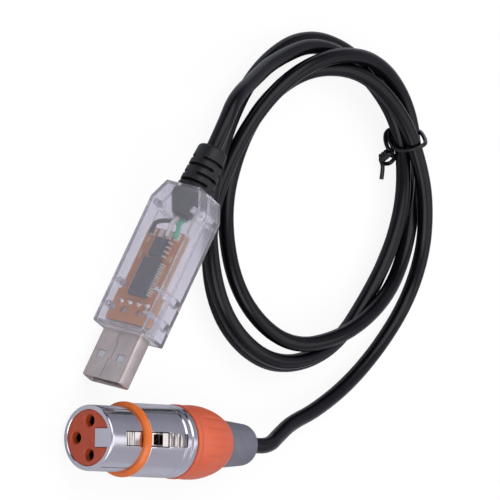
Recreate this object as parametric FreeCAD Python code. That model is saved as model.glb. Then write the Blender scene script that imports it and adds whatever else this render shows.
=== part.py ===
"""USB to DMX interface cable: a clear USB dongle, a tied coil of black cable and a 3-pin XLR plug.

All sizes are in millimetres. The surface that the parts lie on is Z = 0. The dongle stands on its narrow
side, leaning back a little, with +X along its plug. The origin is under the middle of the dongle.
Each sub-part is written to parts/ under its own name.
"""
import FreeCAD, Part
import math
import os

os.makedirs("parts", exist_ok=True)

Vec = FreeCAD.Vector
ORIGIN = Vec(0, 0, 0)
X_AXIS = Vec(1, 0, 0)
Y_AXIS = Vec(0, 1, 0)
Z_AXIS = Vec(0, 0, 1)

# Dongle case, a clear moulding in two halves that meet at mid height
case_width = 15.8
case_height = 10.1
case_wall = 0.9
case_edge_round = 0.45
rear_taper_length = 4.9
rear_taper_width = 2.5
lip_height = 0.8
lip_thickness = 0.4
part_line_gap = 0.06
overrun = 1.0

# How the dongle stands: nose down until the plug's tip meets the surface, and leaning on its long side
dongle_nose_down_deg = 9.15
dongle_lean_deg = 8.6

# USB plug
plug_width = 12.0
plug_height = 4.5
plug_exposed = 13.2
plug_inside = 1.9
plug_steel = 0.3
plug_corner = 0.6
plug_window_length = 2.0
plug_window_width = 2.3
plug_window_from_tip = 6.2
plug_window_spacing = 6.1
plug_fit = 0.05
tongue_height = 1.85
tongue_setback = 0.7
block_front = 1.0
block_rear = 8.7
block_side_gap = 0.3
contact_width = 1.0
contact_thickness = 0.2
contact_tip_setback = 1.4
outer_contact_y = 4.0
inner_contact_y = 1.35
contact_riser_x = 7.35
contact_riser_above_board = 0.35
peg_radius = 0.75
peg_spacing = 4.8
peg_x = 5.1
peg_below_board_top = 0.75

# Circuit board
board_front_x = 2.1
board_step_x = 10.3
board_front_side_gap = 0.45
board_behind_pads = 0.35
board_rear_side_gap = 1.25
board_thickness = 1.0
board_underside_z = 1.2
board_corner = 0.5
pin_clearance = 0.25
hole_clearance = 0.1

# Screwless case: pins on one half press into bosses on the other
pin_row_front_x = 5.2
pin_row_behind_step = 1.3
pin_row_from_rear = 6.0
pin_from_side = 2.0
pin_radius = 0.55
pin_fit = 0.02
boss_radius = 0.9
post_radius = 1.3
post_clearance = 0.1
boss_above_board = 0.1

# USB serial chip and line driver chip, gull wing leads
serial_chip_x = 14.1
serial_chip_length = 10.2
serial_chip_width = 5.3
serial_chip_lead_count = 14
serial_chip_pitch = 0.65
serial_chip_lead_width = 0.3
chip_gap = 0.65
driver_chip_length = 4.9
driver_chip_width = 3.9
driver_chip_lead_count = 4
driver_chip_pitch = 1.27
driver_chip_lead_width = 0.42
chips_y = 0.3
chip_height = 1.55
chip_standoff = 0.1
chip_draft = 0.16
lead_reach = 1.05
lead_foot = 0.5
lead_thickness = 0.15
capacitor_length = 1.6
capacitor_width = 0.8
capacitor_height = 0.7
capacitor_place_shares = ((0.69, -0.37), (0.86, -0.34), (0.71, 0.4))

# Solder
joint_radius = 0.75
joint_height = 0.5
pads_behind_chip = 0.4
pads_from_board_edge = 1.25
pad_count = 4
pad_length = 1.9
pad_width = 1.5
pad_height = 0.55
pad_round = 0.25

# Cable and the wires in it
cable_diameter = 3.9
cable_fit = 0.08
wire_diameter = 1.15
wire_seat_gap = 0.05
wire_room = 4.34
wire_circle_radius = 0.85

# Strain relief of the dongle, slotted so that it bends
relief_length = 12.0
relief_rear_diameter = 9.1
relief_tip_diameter = 7.6
relief_tip_round = 0.7
relief_neck_diameter = 7.2
relief_wall_gap = 0.06
flange_diameter = 9.4
flange_thickness = 1.5
flange_flat_height = 8.1
cone_length = 4.4
cone_tip_diameter = 5.2
relief_slot_width = 0.85
relief_slot_pitch = 2.15
relief_slot_first = 1.5
relief_slot_count = 4
relief_slot_web = 1.2
relief_core_wall = 0.9
jacket_past_cone = 0.8

# XLR plug, measured along its axis from the nose
nose_radius = 8.0
nose_round = 0.5
body_radius = 8.95
ring_radius = 9.2
ring_start = 11.5
ring_width = 1.7
ring_front_bevel = 0.65
ring_bevel_drop = 0.75
ring_fit = 0.04
ring_seat_depth = 0.3
ring_gap = 0.15
chrome_length = 30.2
chrome_end_round = 0.4
groove_first_x = 25.9
groove_pitch = 2.2
groove_count = 2
groove_width = 0.8
groove_depth = 0.35
shell_bore_radius = 6.8
rear_bore_radius = 7.1
insert_length = 16.0
insert_setback = 0.35
insert_fit = 0.05
key_width = 4.5
key_reach = 2.4
key_plate_thickness = 1.6
key_fit = 0.1
nose_line_angle_deg = 62.0
nose_line_width = 0.5
nose_line_depth = 0.22
nose_line_start = 1.0
thread_radius = 7.55
thread_length = 5.2

# XLR sockets
socket_circle_radius = 4.15
socket_angles_deg = (88.0, 180.0, -88.0)
socket_hole_radius = 1.5
socket_hole_chamfer = 0.25
socket_outer_radius = 1.6
socket_bore_radius = 1.2
socket_start = 1.9
socket_bore_length = 11.5
socket_cup_radius = 1.15
socket_cup_bore = 0.75
socket_cup_length = 4.2
socket_cup_depth = 2.4
socket_cup_cut_length = 1.6

# XLR latch, a sprung lever in a slot on top of the plug
slot_start = 5.3
slot_end = 26.4
slot_width = 3.7
latch_width = 3.2
latch_front = 6.1
latch_tooth_length = 2.6
latch_dip_end = 17.4
latch_pad_end = 25.2
latch_rib_count = 3
latch_rib_first_x = 19.8
latch_rib_pitch = 2.05
latch_rib_width = 0.9
latch_rib_height = 0.45
latch_thickness = 0.75
latch_top_radius = 7.5
latch_tooth_drop = 0.7
latch_pad_radius = 8.75
latch_pivot_x = 25.0
latch_pivot_radius = 6.6
latch_barrel_radius = 0.95
latch_pin_radius = 0.45
latch_pin_running_fit = 0.04
latch_pin_length = 5.6
lug_width = 0.9
lug_half_length = 1.4
lug_drop = 1.1
leaf_thickness = 0.2
leaf_width = 2.2
leaf_foot_start = 6.0
leaf_foot_end = 9.6
leaf_top_x = 15.0
leaf_gap = 0.1

# Boot, a fluted barrel that screws onto the chrome shell
boot_length = 15.55
boot_front_radius = 8.85
boot_lip_length = 1.5
boot_lip_radius = 9.15
boot_lip_bevel = 0.2
boot_lip_groove = 0.25
boot_lip_groove_width = 0.35
boot_max_radius = 9.15
boot_max_behind_front = 4.65
boot_end_radius = 6.45
boot_gap = 0.15
boot_thread_fit = 0.1
boot_thread_depth = 6.0
boot_mouth_clearance = 0.15
flute_count = 22
flute_radius = 0.9
flute_depth = 0.35
flute_behind_lip = 1.1
flute_before_end = 1.2
boot_travel = 4.5

# Bend relief of grey rubber, carried by the boot
bend_relief_behind_boot = 11.7
bend_relief_inside_boot = 4.7
bend_relief_shoulder_length = 1.8
bend_relief_shoulder_radius = 6.25
bend_relief_radius = 6.05
bend_relief_tip_radius = 5.2
bend_relief_round = 2.2
bend_relief_bore_gap = 0.3

# Chuck that grips the cable in the shell
chuck_behind_chrome = 0.4
chuck_length = 8.4
chuck_front_radius = 6.6
chuck_rear_radius = 4.6
chuck_flange_length = 1.4
chuck_bore_gap = 0.02
chuck_slot_width = 1.0
jacket_inside_chrome = 2.8
jacket_spare = 0.5

# Where the plug lies and how it is turned, seen from above
plug_nose_x = 47.8
plug_nose_y = -2.4
plug_heading_deg = 114.5

# Coil of cable: three turns, wound clockwise from the tie, seen from above
coil_centre_x = -48.1
coil_centre_y = 54.9
coil_tie_angle_deg = 143.8
quarter_turn_count = 12
turn_quarter_count = 4
quarter_turn_deg = -90.0
coil_places = (
    (32.8, 9.5), (29.7, 6.75), (37.2, 2.65), (31.9, 2.4),
    (30.9, 4.93), (31.0, 2.29), (45.12, 2.4), (42.55, 2.12),
    (38.61, 3.48), (35.87, 3.01), (47.6, 6.6), (34.85, 6.8),
    (37.0, 7.85))
coil_start_inwards_share = 0.056
coil_start_downwards_share = 0.078

# Routes of the two free stretches of cable, chosen by hand, between their ends
dongle_lead_points = (
    (-64.0, 8.5, 15.0), (-70.5, 18.5, 12.0), (-79.5, 31.5, 11.6),
    (-82.8, 46.5, 12.0), (-83.1, 59.8, 11.65))
dongle_lead_first_run = 16.0
dongle_lead_last_run = 5.3
plug_lead_points = (
    (-60.0, 96.0, 3.6), (-45.0, 99.8, 2.1), (-28.3, 94.8, 2.0),
    (-11.4, 85.9, 2.0), (3.1, 76.5, 4.35))
plug_lead_first_run = 13.5
plug_lead_last_run = 14.0

# Twist tie round the four strands
tie_wire_diameter = 1.2
tie_gap = 0.22
tie_stub_radius_share = 1.5
tie_knob_radius_share = 2.0
tie_twist_inwards = 3.1
tie_twist_along = 2.3
tie_twist_drop = 2.15
tie_tail_along = 4.1
tie_tail_outwards = 1.1
tie_tail_drop = 0.9

# Proportions
bend_reach_share = 0.45
half = 0.5
same_place = 1e-6

# Lengths that follow from what the case holds
board_front_width = case_width - 2 * case_wall - 2 * board_front_side_gap
board_rear_width = case_width - 2 * case_wall - 2 * board_rear_side_gap
pin_spacing = case_width - 2 * pin_from_side
serial_chip_rear_x = serial_chip_x + serial_chip_length / 2
driver_chip_x = serial_chip_rear_x + chip_gap + driver_chip_length / 2
pad_x = driver_chip_x + driver_chip_length / 2 + pads_behind_chip + pad_length / 2
board_rear_x = pad_x + pad_length / 2 + board_behind_pads
pad_pitch = (board_rear_width - pad_width - 2 * pads_from_board_edge) / (pad_count - 1)
relief_inside_length = relief_wall_gap + flange_thickness + cone_length + jacket_past_cone
case_length = board_rear_x + wire_room + relief_inside_length + case_wall
block_width = plug_width - 2 * plug_steel - 2 * block_side_gap
pin_row_middle_x = board_step_x + pin_row_behind_step
pin_row_rear_x = case_length - pin_row_from_rear

# Places behind the chrome shell
boot_front = chrome_length + boot_gap
boot_max_x = boot_front + boot_max_behind_front
boot_end = boot_front + boot_length
bend_relief_front = boot_end - bend_relief_inside_boot
bend_relief_shoulder = bend_relief_front + bend_relief_shoulder_length
bend_relief_end = boot_end + bend_relief_behind_boot
chuck_start = chrome_length + chuck_behind_chrome
jacket_front_x = chrome_length - jacket_inside_chrome


def box(x0, x1, y0, y1, z0, z1):
    """Block between two corners."""
    return Part.makeBox(x1 - x0, y1 - y0, z1 - z0, Vec(x0, y0, z0))


def rod(radius, start, end):
    """Round bar between two points."""
    run = end.sub(start)
    return Part.makeCylinder(radius, run.Length, start, run)


def cone(radius_start, radius_end, start, end):
    """Tapered round bar between two points."""
    run = end.sub(start)
    return Part.makeCone(radius_start, radius_end, run.Length, start, run)


def face_of(points):
    """Flat face inside a closed outline of straight edges."""
    return Part.Face(Part.makePolygon(points + [points[0]]))


def turned(profile):
    """Solid of revolution about the X axis from (x, radius) points."""
    return face_of([Vec(x, radius, 0) for x, radius in profile]).revolve(ORIGIN, X_AXIS, 360)


def joined(shapes):
    """One solid from shapes that touch or overlap."""
    return shapes[0].multiFuse(shapes[1:]).removeSplitter() if len(shapes) > 1 else shapes[0]


def rounded_bar(length_x, width, height, corner):
    """Bar along X from the origin with its four long edges rounded."""
    bar = box(0, length_x, -width / 2, width / 2, -height / 2, height / 2)
    long_edges = [edge for edge in bar.Edges if abs(edge.BoundBox.XLength - length_x) < corner * half]
    return bar.makeFillet(corner, long_edges)


def run_lengths(points):
    """Lengths of the straight runs of a route."""
    return [points[i + 1].sub(points[i]).Length for i in range(len(points) - 1)]


def cord_path(points, name):
    """Wire of straight runs joined by tangent arcs, as large as the runs allow."""
    runs = run_lengths(points)
    edges = []
    here = points[0]
    radii = []
    for i in range(1, len(points) - 1):
        back = points[i - 1].sub(points[i]).normalize()
        ahead = points[i + 1].sub(points[i]).normalize()
        turn = math.pi - back.getAngle(ahead)
        setback = bend_reach_share * min(runs[i - 1], runs[i])
        radius = setback / math.tan(turn / 2)
        radii.append(radius)
        start = points[i].add(back.multiply(setback))
        end = points[i].add(ahead.multiply(setback))
        to_centre = start.add(end).multiply(half).sub(points[i])
        inside = to_centre.Length
        centre_distance = math.hypot(setback, radius)
        to_centre.normalize()
        middle = points[i].add(to_centre.multiply(centre_distance - radius))
        if here.sub(start).Length > same_place:
            edges.append(Part.LineSegment(here, start).toShape())
        if inside > same_place:
            edges.append(Part.Arc(start, middle, end).toShape())
        here = end
    edges.append(Part.LineSegment(here, points[-1]).toShape())
    print(name, "bend radii", [round(radius, 1) for radius in radii])
    return Part.Wire(edges)


def swept(wire, radius):
    """Round tube along a wire."""
    first = wire.OrderedEdges[0]
    start = first.valueAt(first.FirstParameter)
    direction = first.tangentAt(first.FirstParameter)
    if (start - wire.OrderedVertexes[0].Point).Length > same_place:
        start = first.valueAt(first.LastParameter)
        direction = first.tangentAt(first.LastParameter).multiply(-1)
    section = Part.Wire([Part.Circle(start, direction, radius).toShape()])
    return wire.makePipeShell([section], True, False)


def cord(points, radius, name):
    """Tube along a route, with its volume set beside its section times its length."""
    wire = cord_path(points, name)
    tube = swept(wire, radius)
    plain = math.pi * radius ** 2 * wire.Length
    print(name, "length", round(wire.Length, 1), "volume over section times length", round(tube.Volume / plain, 4))
    return tube


# Dongle placement: lean about the long axis, nose down, then set on the surface over the origin
side_up = FreeCAD.Rotation(X_AXIS, 90 - dongle_lean_deg)
nose_down = FreeCAD.Rotation(Y_AXIS, dongle_nose_down_deg)
dongle_turn = nose_down.multiply(side_up)
half_width = case_width / 2
half_height = case_height / 2
relief_end_x = -case_length - relief_length


def dongle_corners():
    """Outer corners of the dongle in its own frame, as far as they can touch its bounding box."""
    corners = []
    for side in (-1, 1):
        for face in (-1, 1):
            corners.append(Vec(0, side * half_width, face * half_height))
            corners.append(Vec(-case_length + rear_taper_length, side * half_width, face * half_height))
            corners.append(Vec(plug_exposed, side * (plug_width / 2), face * (plug_height / 2)))
    return [dongle_turn.multVec(corner) for corner in corners]


placed_corners = dongle_corners()
relief_end_back = dongle_turn.multVec(Vec(relief_end_x, 0, 0))
low_z = min(corner.z for corner in placed_corners)
front_x = max(corner.x for corner in placed_corners)
mid_y = (min(corner.y for corner in placed_corners) + max(corner.y for corner in placed_corners)) / 2
relief_tip_drop = relief_tip_diameter / 2 * math.sin(math.radians(dongle_nose_down_deg))
back_x = relief_end_back.x - relief_tip_drop
dongle_place = FreeCAD.Placement(Vec(-(front_x + back_x) / 2, -mid_y, -low_z), dongle_turn)
plug_turn = FreeCAD.Rotation(Z_AXIS, plug_heading_deg)
plug_place = FreeCAD.Placement(Vec(plug_nose_x, plug_nose_y, ring_radius), plug_turn)
flat_place = FreeCAD.Placement()
node_count = 0


def save(name, shape, place):
    """Put a sub-part in its place and write it to its own file."""
    global node_count
    shape = shape.copy()
    shape.Placement = place.multiply(shape.Placement)
    node_count += 1
    if not shape.isValid():
        print("not valid:", name)
    shape.exportStep("parts/" + name + ".step")
    return shape


# Case halves
def case_outline(grow):
    """Outline of the case seen from its top, moved inwards by -grow."""
    nose = grow
    tail = -case_length - grow
    side = half_width + grow
    taper_angle = math.atan2(rear_taper_width, rear_taper_length)
    shift = grow * math.tan(math.pi / 4 - (math.pi / 2 - taper_angle) / 2)
    knee = -case_length + rear_taper_length - shift
    tail_side = side - (knee - tail) * rear_taper_width / rear_taper_length
    return [Vec(nose, -side, 0), Vec(nose, side, 0), Vec(knee, side, 0),
            Vec(tail, tail_side, 0), Vec(tail, -tail_side, 0), Vec(knee, -side, 0)]


def case_prism(grow, height):
    """Prism on the case's outline, from mid height upwards."""
    return face_of(case_outline(grow)).extrude(Vec(0, 0, height))


def pin_places():
    """Places of the pins, seen from the top of the case."""
    rows = (pin_row_front_x, pin_row_middle_x, pin_row_rear_x)
    return [(-x, side * pin_spacing / 2) for x in rows for side in (-1, 1)]


def open_case_ends(half_case):
    """Cut the plug's window and the strain relief's hole out of a case half."""
    window = box(-case_wall - overrun, overrun, -plug_width / 2 - plug_fit, plug_width / 2 + plug_fit,
                 -plug_height / 2 - plug_fit, plug_height / 2 + plug_fit)
    neck_hole = rod(relief_neck_diameter / 2 + relief_wall_gap, Vec(-case_length - overrun, 0, 0),
                    Vec(-case_length + case_wall + overrun, 0, 0))
    return half_case.cut(window).cut(neck_hole)


def case_half():
    """Upper shell with rounded outer edges, before its lip, pins and bosses."""
    outer = case_prism(0, half_height)
    rim = [edge for edge in outer.Edges
           if edge.BoundBox.ZMax > case_edge_round or edge.BoundBox.ZLength > case_edge_round]
    outer = outer.makeFillet(case_edge_round, rim)
    inner = case_prism(-case_wall, half_height - case_wall)
    return open_case_ends(outer.cut(inner))


def make_case_top():
    """Half over the chips, with bosses and a rebate for the other half's lip."""
    shell = case_half()
    rebate = case_prism(-case_wall + lip_thickness + part_line_gap, lip_height + part_line_gap)
    shell = shell.cut(rebate)
    ceiling = half_height - case_wall
    board_top = board_underside_z + board_thickness
    bosses = []
    for x, y in pin_places():
        boss = rod(boss_radius, Vec(x, y, board_top + boss_above_board), Vec(x, y, ceiling + case_wall * half))
        hole = rod(pin_radius + pin_fit, Vec(x, y, board_top), Vec(x, y, ceiling))
        bosses.append(boss.cut(hole))
    return joined([shell] + bosses)


def make_case_bottom():
    """Half under the board, with posts, pins and the lip."""
    shell = case_half()
    lip_outer = case_prism(-case_wall + lip_thickness, lip_height * 2)
    lip_inner = case_prism(-case_wall, lip_height * 2)
    lip = lip_outer.cut(lip_inner)
    lip.translate(Vec(0, 0, -lip_height))
    lip = open_case_ends(lip)
    floor_z = half_height - case_wall
    shell = shell.mirror(ORIGIN, Z_AXIS)
    posts = []
    pin_top = half_height - case_wall
    for x, y in pin_places():
        on_board = x < -board_front_x and x > -board_rear_x
        post_top = board_underside_z if on_board else board_underside_z - part_line_gap
        posts.append(rod(post_radius, Vec(x, y, -floor_z - case_wall * half), Vec(x, y, post_top)))
        posts.append(rod(pin_radius, Vec(x, y, 0), Vec(x, y, pin_top)))
    inside = case_prism(-case_wall + case_wall * half, case_height)
    inside.translate(Vec(0, 0, -half_height + case_wall * half))
    posts = [post.common(inside) for post in posts]
    return joined([shell, lip] + posts)


save("case_top", make_case_top(), dongle_place)
save("case_bottom", make_case_bottom(), dongle_place)


# USB plug
def make_usb_shell():
    """Folded steel shell with two latch windows in each broad face."""
    length = plug_exposed + plug_inside
    outer = rounded_bar(length, plug_width, plug_height, plug_corner)
    inner = rounded_bar(length, plug_width - 2 * plug_steel, plug_height - 2 * plug_steel, plug_corner - plug_steel)
    shell = outer.cut(inner)
    shell.translate(Vec(-plug_inside, 0, 0))
    centre_x = plug_exposed - plug_window_from_tip
    for side in (-1, 1):
        window_y = side * plug_window_spacing / 2
        shell = shell.cut(box(centre_x - plug_window_length / 2, centre_x + plug_window_length / 2,
                              window_y - plug_window_width / 2, window_y + plug_window_width / 2,
                              -plug_height, plug_height))
    return shell


def contact_ys():
    """Places of the four contacts across the plug."""
    return [-outer_contact_y, -inner_contact_y, inner_contact_y, outer_contact_y]


tongue_face = plug_height / 2 - plug_steel - tongue_height
board_top_z = board_underside_z + board_thickness


def make_usb_contacts():
    """Four flat contacts on the tongue, bent up through the board."""
    shapes = []
    tip = plug_exposed - contact_tip_setback
    for y in contact_ys():
        near_y = max(-block_width / 2 + contact_width / 2, min(block_width / 2 - contact_width / 2, y))
        blade = box(-contact_riser_x - contact_thickness, tip, near_y - contact_width / 2,
                    near_y + contact_width / 2, tongue_face - contact_thickness / 2,
                    tongue_face + contact_thickness / 2)
        riser = box(-contact_riser_x - contact_thickness, -contact_riser_x, near_y - contact_width / 4,
                    near_y + contact_width / 4, tongue_face, board_top_z + contact_riser_above_board)
        shapes.append(blade.fuse(riser).removeSplitter())
    return shapes


def make_usb_insulator(contacts):
    """Tongue inside the shell and the block behind it, with two pegs into the board."""
    floor_z = -plug_height / 2 + plug_steel
    tongue = box(block_front, plug_exposed - tongue_setback, -block_width / 2, block_width / 2, tongue_face, -floor_z)
    collar = box(-plug_inside, block_front, -block_width / 2, block_width / 2, floor_z, -floor_z)
    block = box(-block_rear, -plug_inside, -block_width / 2, block_width / 2, floor_z, board_underside_z)
    pegs = [rod(peg_radius, Vec(-peg_x, side * peg_spacing / 2, 0),
                Vec(-peg_x, side * peg_spacing / 2, board_top_z - peg_below_board_top)) for side in (-1, 1)]
    body = joined([tongue, collar, block] + pegs)
    for contact in contacts:
        body = body.cut(contact)
    for x, y in pin_places():
        body = body.cut(rod(post_radius + post_clearance, Vec(x, y, -half_height), Vec(x, y, half_height)))
    return body


usb_contacts = make_usb_contacts()
save("usb_shell", make_usb_shell(), dongle_place)
save("usb_contacts", Part.makeCompound(usb_contacts), dongle_place)
save("usb_insulator", make_usb_insulator(usb_contacts), dongle_place)


# Circuit board and what is soldered to it
def make_circuit_board():
    """Board with a wider front, round notches for the case's pins and holes for the plug."""
    front = box(-board_step_x, -board_front_x, -board_front_width / 2, board_front_width / 2,
                board_underside_z, board_top_z)
    rear = box(-board_rear_x, -board_step_x, -board_rear_width / 2, board_rear_width / 2,
               board_underside_z, board_top_z)
    board = joined([front, rear])
    corners = [edge for edge in board.Edges
               if edge.BoundBox.ZLength > board_thickness * half and edge.BoundBox.XMax < -board_step_x]
    board = board.makeFillet(board_corner, corners)
    for x, y in pin_places():
        board = board.cut(rod(pin_radius + pin_clearance, Vec(x, y, 0), Vec(x, y, board_top_z + overrun)))
    for side in (-1, 1):
        board = board.cut(rod(peg_radius + hole_clearance, Vec(-peg_x, side * peg_spacing / 2, 0),
                              Vec(-peg_x, side * peg_spacing / 2, board_top_z + overrun)))
    for y in contact_ys():
        board = board.cut(rod(contact_width / 4 + hole_clearance * 2, Vec(-contact_riser_x, y, 0),
                              Vec(-contact_riser_x, y, board_top_z + overrun)))
    return board


def make_joints(contacts):
    """Small cones of solder round the contacts on top of the board."""
    shapes = []
    for y in contact_ys():
        base = Vec(-contact_riser_x, y, board_top_z)
        joint = cone(joint_radius, contact_width / 3, base, base.add(Vec(0, 0, joint_height)))
        for contact in contacts:
            joint = joint.cut(contact)
        shapes.append(joint)
    return Part.makeCompound(shapes)


def chip_body(x, length, width):
    """Moulded chip body with drafted sides, above the board."""
    low = board_top_z + chip_standoff
    middle = low + chip_height / 2
    halves = []
    for end in (low, low + chip_height):
        wires = []
        for level, inset in ((middle, 0), (end, chip_draft)):
            a = length / 2 - inset
            b = width / 2 - inset
            corners = [Vec(x - a, chips_y - b, level), Vec(x + a, chips_y - b, level),
                       Vec(x + a, chips_y + b, level), Vec(x - a, chips_y + b, level)]
            wires.append(Part.makePolygon(corners + [corners[0]]))
        halves.append(Part.makeLoft(wires, True, True))
    return joined(halves)


def chip_leads(x, width, count, pitch, lead_width):
    """Gull wing leads on both long sides of a chip."""
    middle = board_top_z + chip_standoff + chip_height / 2
    thick = lead_thickness
    shapes = []
    for side in (-1, 1):
        wall = chips_y + side * width / 2
        outline = [(0, middle + thick / 2), (lead_reach - lead_foot, middle + thick / 2),
                   (lead_reach - lead_foot + thick, board_top_z + thick), (lead_reach, board_top_z + thick),
                   (lead_reach, board_top_z), (lead_reach - lead_foot, board_top_z),
                   (lead_reach - lead_foot - thick, middle - thick / 2), (0, middle - thick / 2)]
        for k in range(count):
            lead_x = x + (k - (count - 1) / 2) * pitch - lead_width / 2
            face = face_of([Vec(lead_x, wall + side * out, level) for out, level in outline])
            shapes.append(face.extrude(Vec(lead_width, 0, 0)))
    return Part.makeCompound(shapes)


def make_capacitors():
    """Small chip capacitors on the board."""
    shapes = []
    for x_share, y_share in capacitor_place_shares:
        x = -board_front_x - x_share * (board_rear_x - board_front_x)
        y = y_share * board_rear_width
        shapes.append(box(x - capacitor_length / 2, x + capacitor_length / 2, y - capacitor_width / 2,
                          y + capacitor_width / 2, board_top_z, board_top_z + capacitor_height))
    return Part.makeCompound(shapes)


def pad_y(index):
    """Place of a solder pad across the board."""
    return (index - (pad_count - 1) / 2) * pad_pitch


def make_pads():
    """Rounded solder pads for the cable's wires, in a row at the board's rear."""
    shapes = []
    for index in range(pad_count):
        y = pad_y(index)
        pad = box(-pad_x - pad_length / 2, -pad_x + pad_length / 2, y - pad_width / 2, y + pad_width / 2,
                  board_top_z, board_top_z + pad_height)
        top = [edge for edge in pad.Edges if edge.BoundBox.ZMin > board_top_z + pad_height * half]
        shapes.append(pad.makeFillet(pad_round, top))
    return Part.makeCompound(shapes)


save("circuit_board", make_circuit_board(), dongle_place)
save("usb_solder_joints", make_joints(usb_contacts), dongle_place)
save("usb_serial_chip", chip_body(-serial_chip_x, serial_chip_length, serial_chip_width), dongle_place)
save("usb_chip_leads", chip_leads(-serial_chip_x, serial_chip_width, serial_chip_lead_count,
                                  serial_chip_pitch, serial_chip_lead_width), dongle_place)
save("line_driver_chip", chip_body(-driver_chip_x, driver_chip_length, driver_chip_width), dongle_place)
save("line_driver_leads", chip_leads(-driver_chip_x, driver_chip_width, driver_chip_lead_count,
                                     driver_chip_pitch, driver_chip_lead_width), dongle_place)
save("chip_capacitors", make_capacitors(), dongle_place)
save("wire_solder_pads", make_pads(), dongle_place)

# Strain relief, its inner flange and the jacket inside it
cable_radius = cable_diameter / 2
flange_front_x = -case_length + case_wall + relief_wall_gap + flange_thickness
cone_tip_x = flange_front_x + cone_length
jacket_end_x = cone_tip_x + jacket_past_cone


def make_strain_relief():
    """Tapered relief with staggered slots, a neck in the case wall and a flange and cone inside."""
    bore = cable_radius + cable_fit
    neck = relief_neck_diameter / 2
    wall_out = -case_length - relief_wall_gap
    wall_in = -case_length + case_wall + relief_wall_gap
    profile = [(relief_end_x, bore), (relief_end_x, relief_tip_diameter / 2 - relief_tip_round),
               (relief_end_x + relief_tip_round, relief_tip_diameter / 2),
               (wall_out, relief_rear_diameter / 2), (wall_out, neck), (wall_in, neck),
               (wall_in, flange_diameter / 2), (flange_front_x, flange_diameter / 2),
               (cone_tip_x, cone_tip_diameter / 2), (cone_tip_x, bore)]
    relief = turned(profile)
    keep = box(relief_end_x - overrun, wall_out, -case_width, case_width, -case_height, case_height)
    flat = box(wall_out, cone_tip_x + overrun, -case_width, case_width, -flange_flat_height / 2, flange_flat_height / 2)
    relief = relief.common(joined([keep, flat]))
    core = bore + relief_core_wall
    for k in range(relief_slot_count):
        slot_x = wall_out - relief_slot_first - k * relief_slot_pitch
        disc = rod(case_width, Vec(slot_x - relief_slot_width / 2, 0, 0), Vec(slot_x + relief_slot_width / 2, 0, 0))
        disc = disc.cut(rod(core, Vec(slot_x - overrun, 0, 0), Vec(slot_x + overrun, 0, 0)))
        web = box(slot_x - overrun, slot_x + overrun, -relief_slot_web, relief_slot_web, -case_width, case_width)
        web.rotate(ORIGIN, X_AXIS, 90 * ((k + 1) % 2))
        relief = relief.cut(disc.cut(web))
    return relief


save("strain_relief", make_strain_relief(), dongle_place)
save("cable_dongle_end", rod(cable_radius, Vec(relief_end_x, 0, 0), Vec(jacket_end_x, 0, 0)), dongle_place)

# Wires from the jacket's end to the solder pads
wire_radius = wire_diameter / 2
wire_top_z = board_top_z + pad_height + wire_seat_gap + wire_radius
wires_out = (("wire_black", 0, 210), ("wire_white", 2, 90), ("wire_green", 3, 330))
for wire_name, pad_index, around_deg in wires_out:
    start_y = wire_circle_radius * math.cos(math.radians(around_deg))
    start_z = wire_circle_radius * math.sin(math.radians(around_deg))
    wire_pad_y = pad_y(pad_index)
    gap_x = -pad_x - pad_length / 2 - jacket_end_x
    first_x = jacket_end_x + gap_x / 4
    second_x = -pad_x - pad_length / 2 - gap_x / 6
    wire_route = [Vec(jacket_end_x, start_y, start_z), Vec(first_x, start_y, start_z),
                  Vec(second_x, wire_pad_y, wire_top_z), Vec(-pad_x + pad_length / 3, wire_pad_y, wire_top_z)]
    save(wire_name, cord(wire_route, wire_radius, wire_name), dongle_place)


# XLR shell
def ring_seat_end():
    """Place along the plug where the ring's seat ends and the wider body starts."""
    return ring_start + ring_width + ring_gap


def make_xlr_housing():
    """Chromed shell with its key tab, latch slot, grooves, pivot lugs and rear thread."""
    seat_end = ring_seat_end()
    profile = [(0, shell_bore_radius), (0, nose_radius - nose_round), (nose_round, nose_radius),
               (ring_start, nose_radius), (ring_start, nose_radius - ring_seat_depth),
               (seat_end, nose_radius - ring_seat_depth), (seat_end, body_radius)]
    for k in range(groove_count):
        x = groove_first_x + k * groove_pitch
        profile += [(x - groove_width / 2, body_radius), (x, body_radius - groove_depth),
                    (x + groove_width / 2, body_radius)]
    profile += [(chrome_length - chrome_end_round, body_radius), (chrome_length, body_radius - chrome_end_round),
                (chrome_length, thread_radius), (chrome_length + thread_length, thread_radius),
                (chrome_length + thread_length, rear_bore_radius), (insert_length + insert_setback, rear_bore_radius),
                (insert_length + insert_setback, shell_bore_radius)]
    shell = turned(profile)
    tab = box(0, key_plate_thickness, -key_width / 2, key_width / 2, key_reach, nose_radius)
    tab = tab.common(rod(nose_radius - nose_round, ORIGIN, Vec(key_plate_thickness, 0, 0)))
    lugs = []
    for side in (-1, 1):
        inner_y = side * latch_width / 2 + side * (slot_width - latch_width) / 2
        outer_y = inner_y + side * lug_width
        lug = box(latch_pivot_x - lug_half_length, latch_pivot_x + lug_half_length, min(inner_y, outer_y),
                  max(inner_y, outer_y), latch_pivot_radius - lug_drop, body_radius - groove_depth)
        lugs.append(lug.common(rod(body_radius - groove_depth, ORIGIN, Vec(chrome_length, 0, 0))))
    shell = joined([shell, tab] + lugs)
    slot = box(slot_start, slot_end, -slot_width / 2, slot_width / 2, 0, body_radius + overrun)
    shell = shell.cut(slot)
    pin_hole = rod(latch_pin_radius, Vec(latch_pivot_x, -latch_pin_length / 2, latch_pivot_radius),
                   Vec(latch_pivot_x, latch_pin_length / 2, latch_pivot_radius))
    shell = shell.cut(pin_hole)
    for side in (-1, 1):
        line = box(nose_line_start, ring_start, -nose_line_width / 2, nose_line_width / 2,
                   nose_radius - nose_line_depth, nose_radius + overrun)
        line.rotate(ORIGIN, X_AXIS, side * nose_line_angle_deg)
        shell = shell.cut(line)
    return shell


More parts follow.
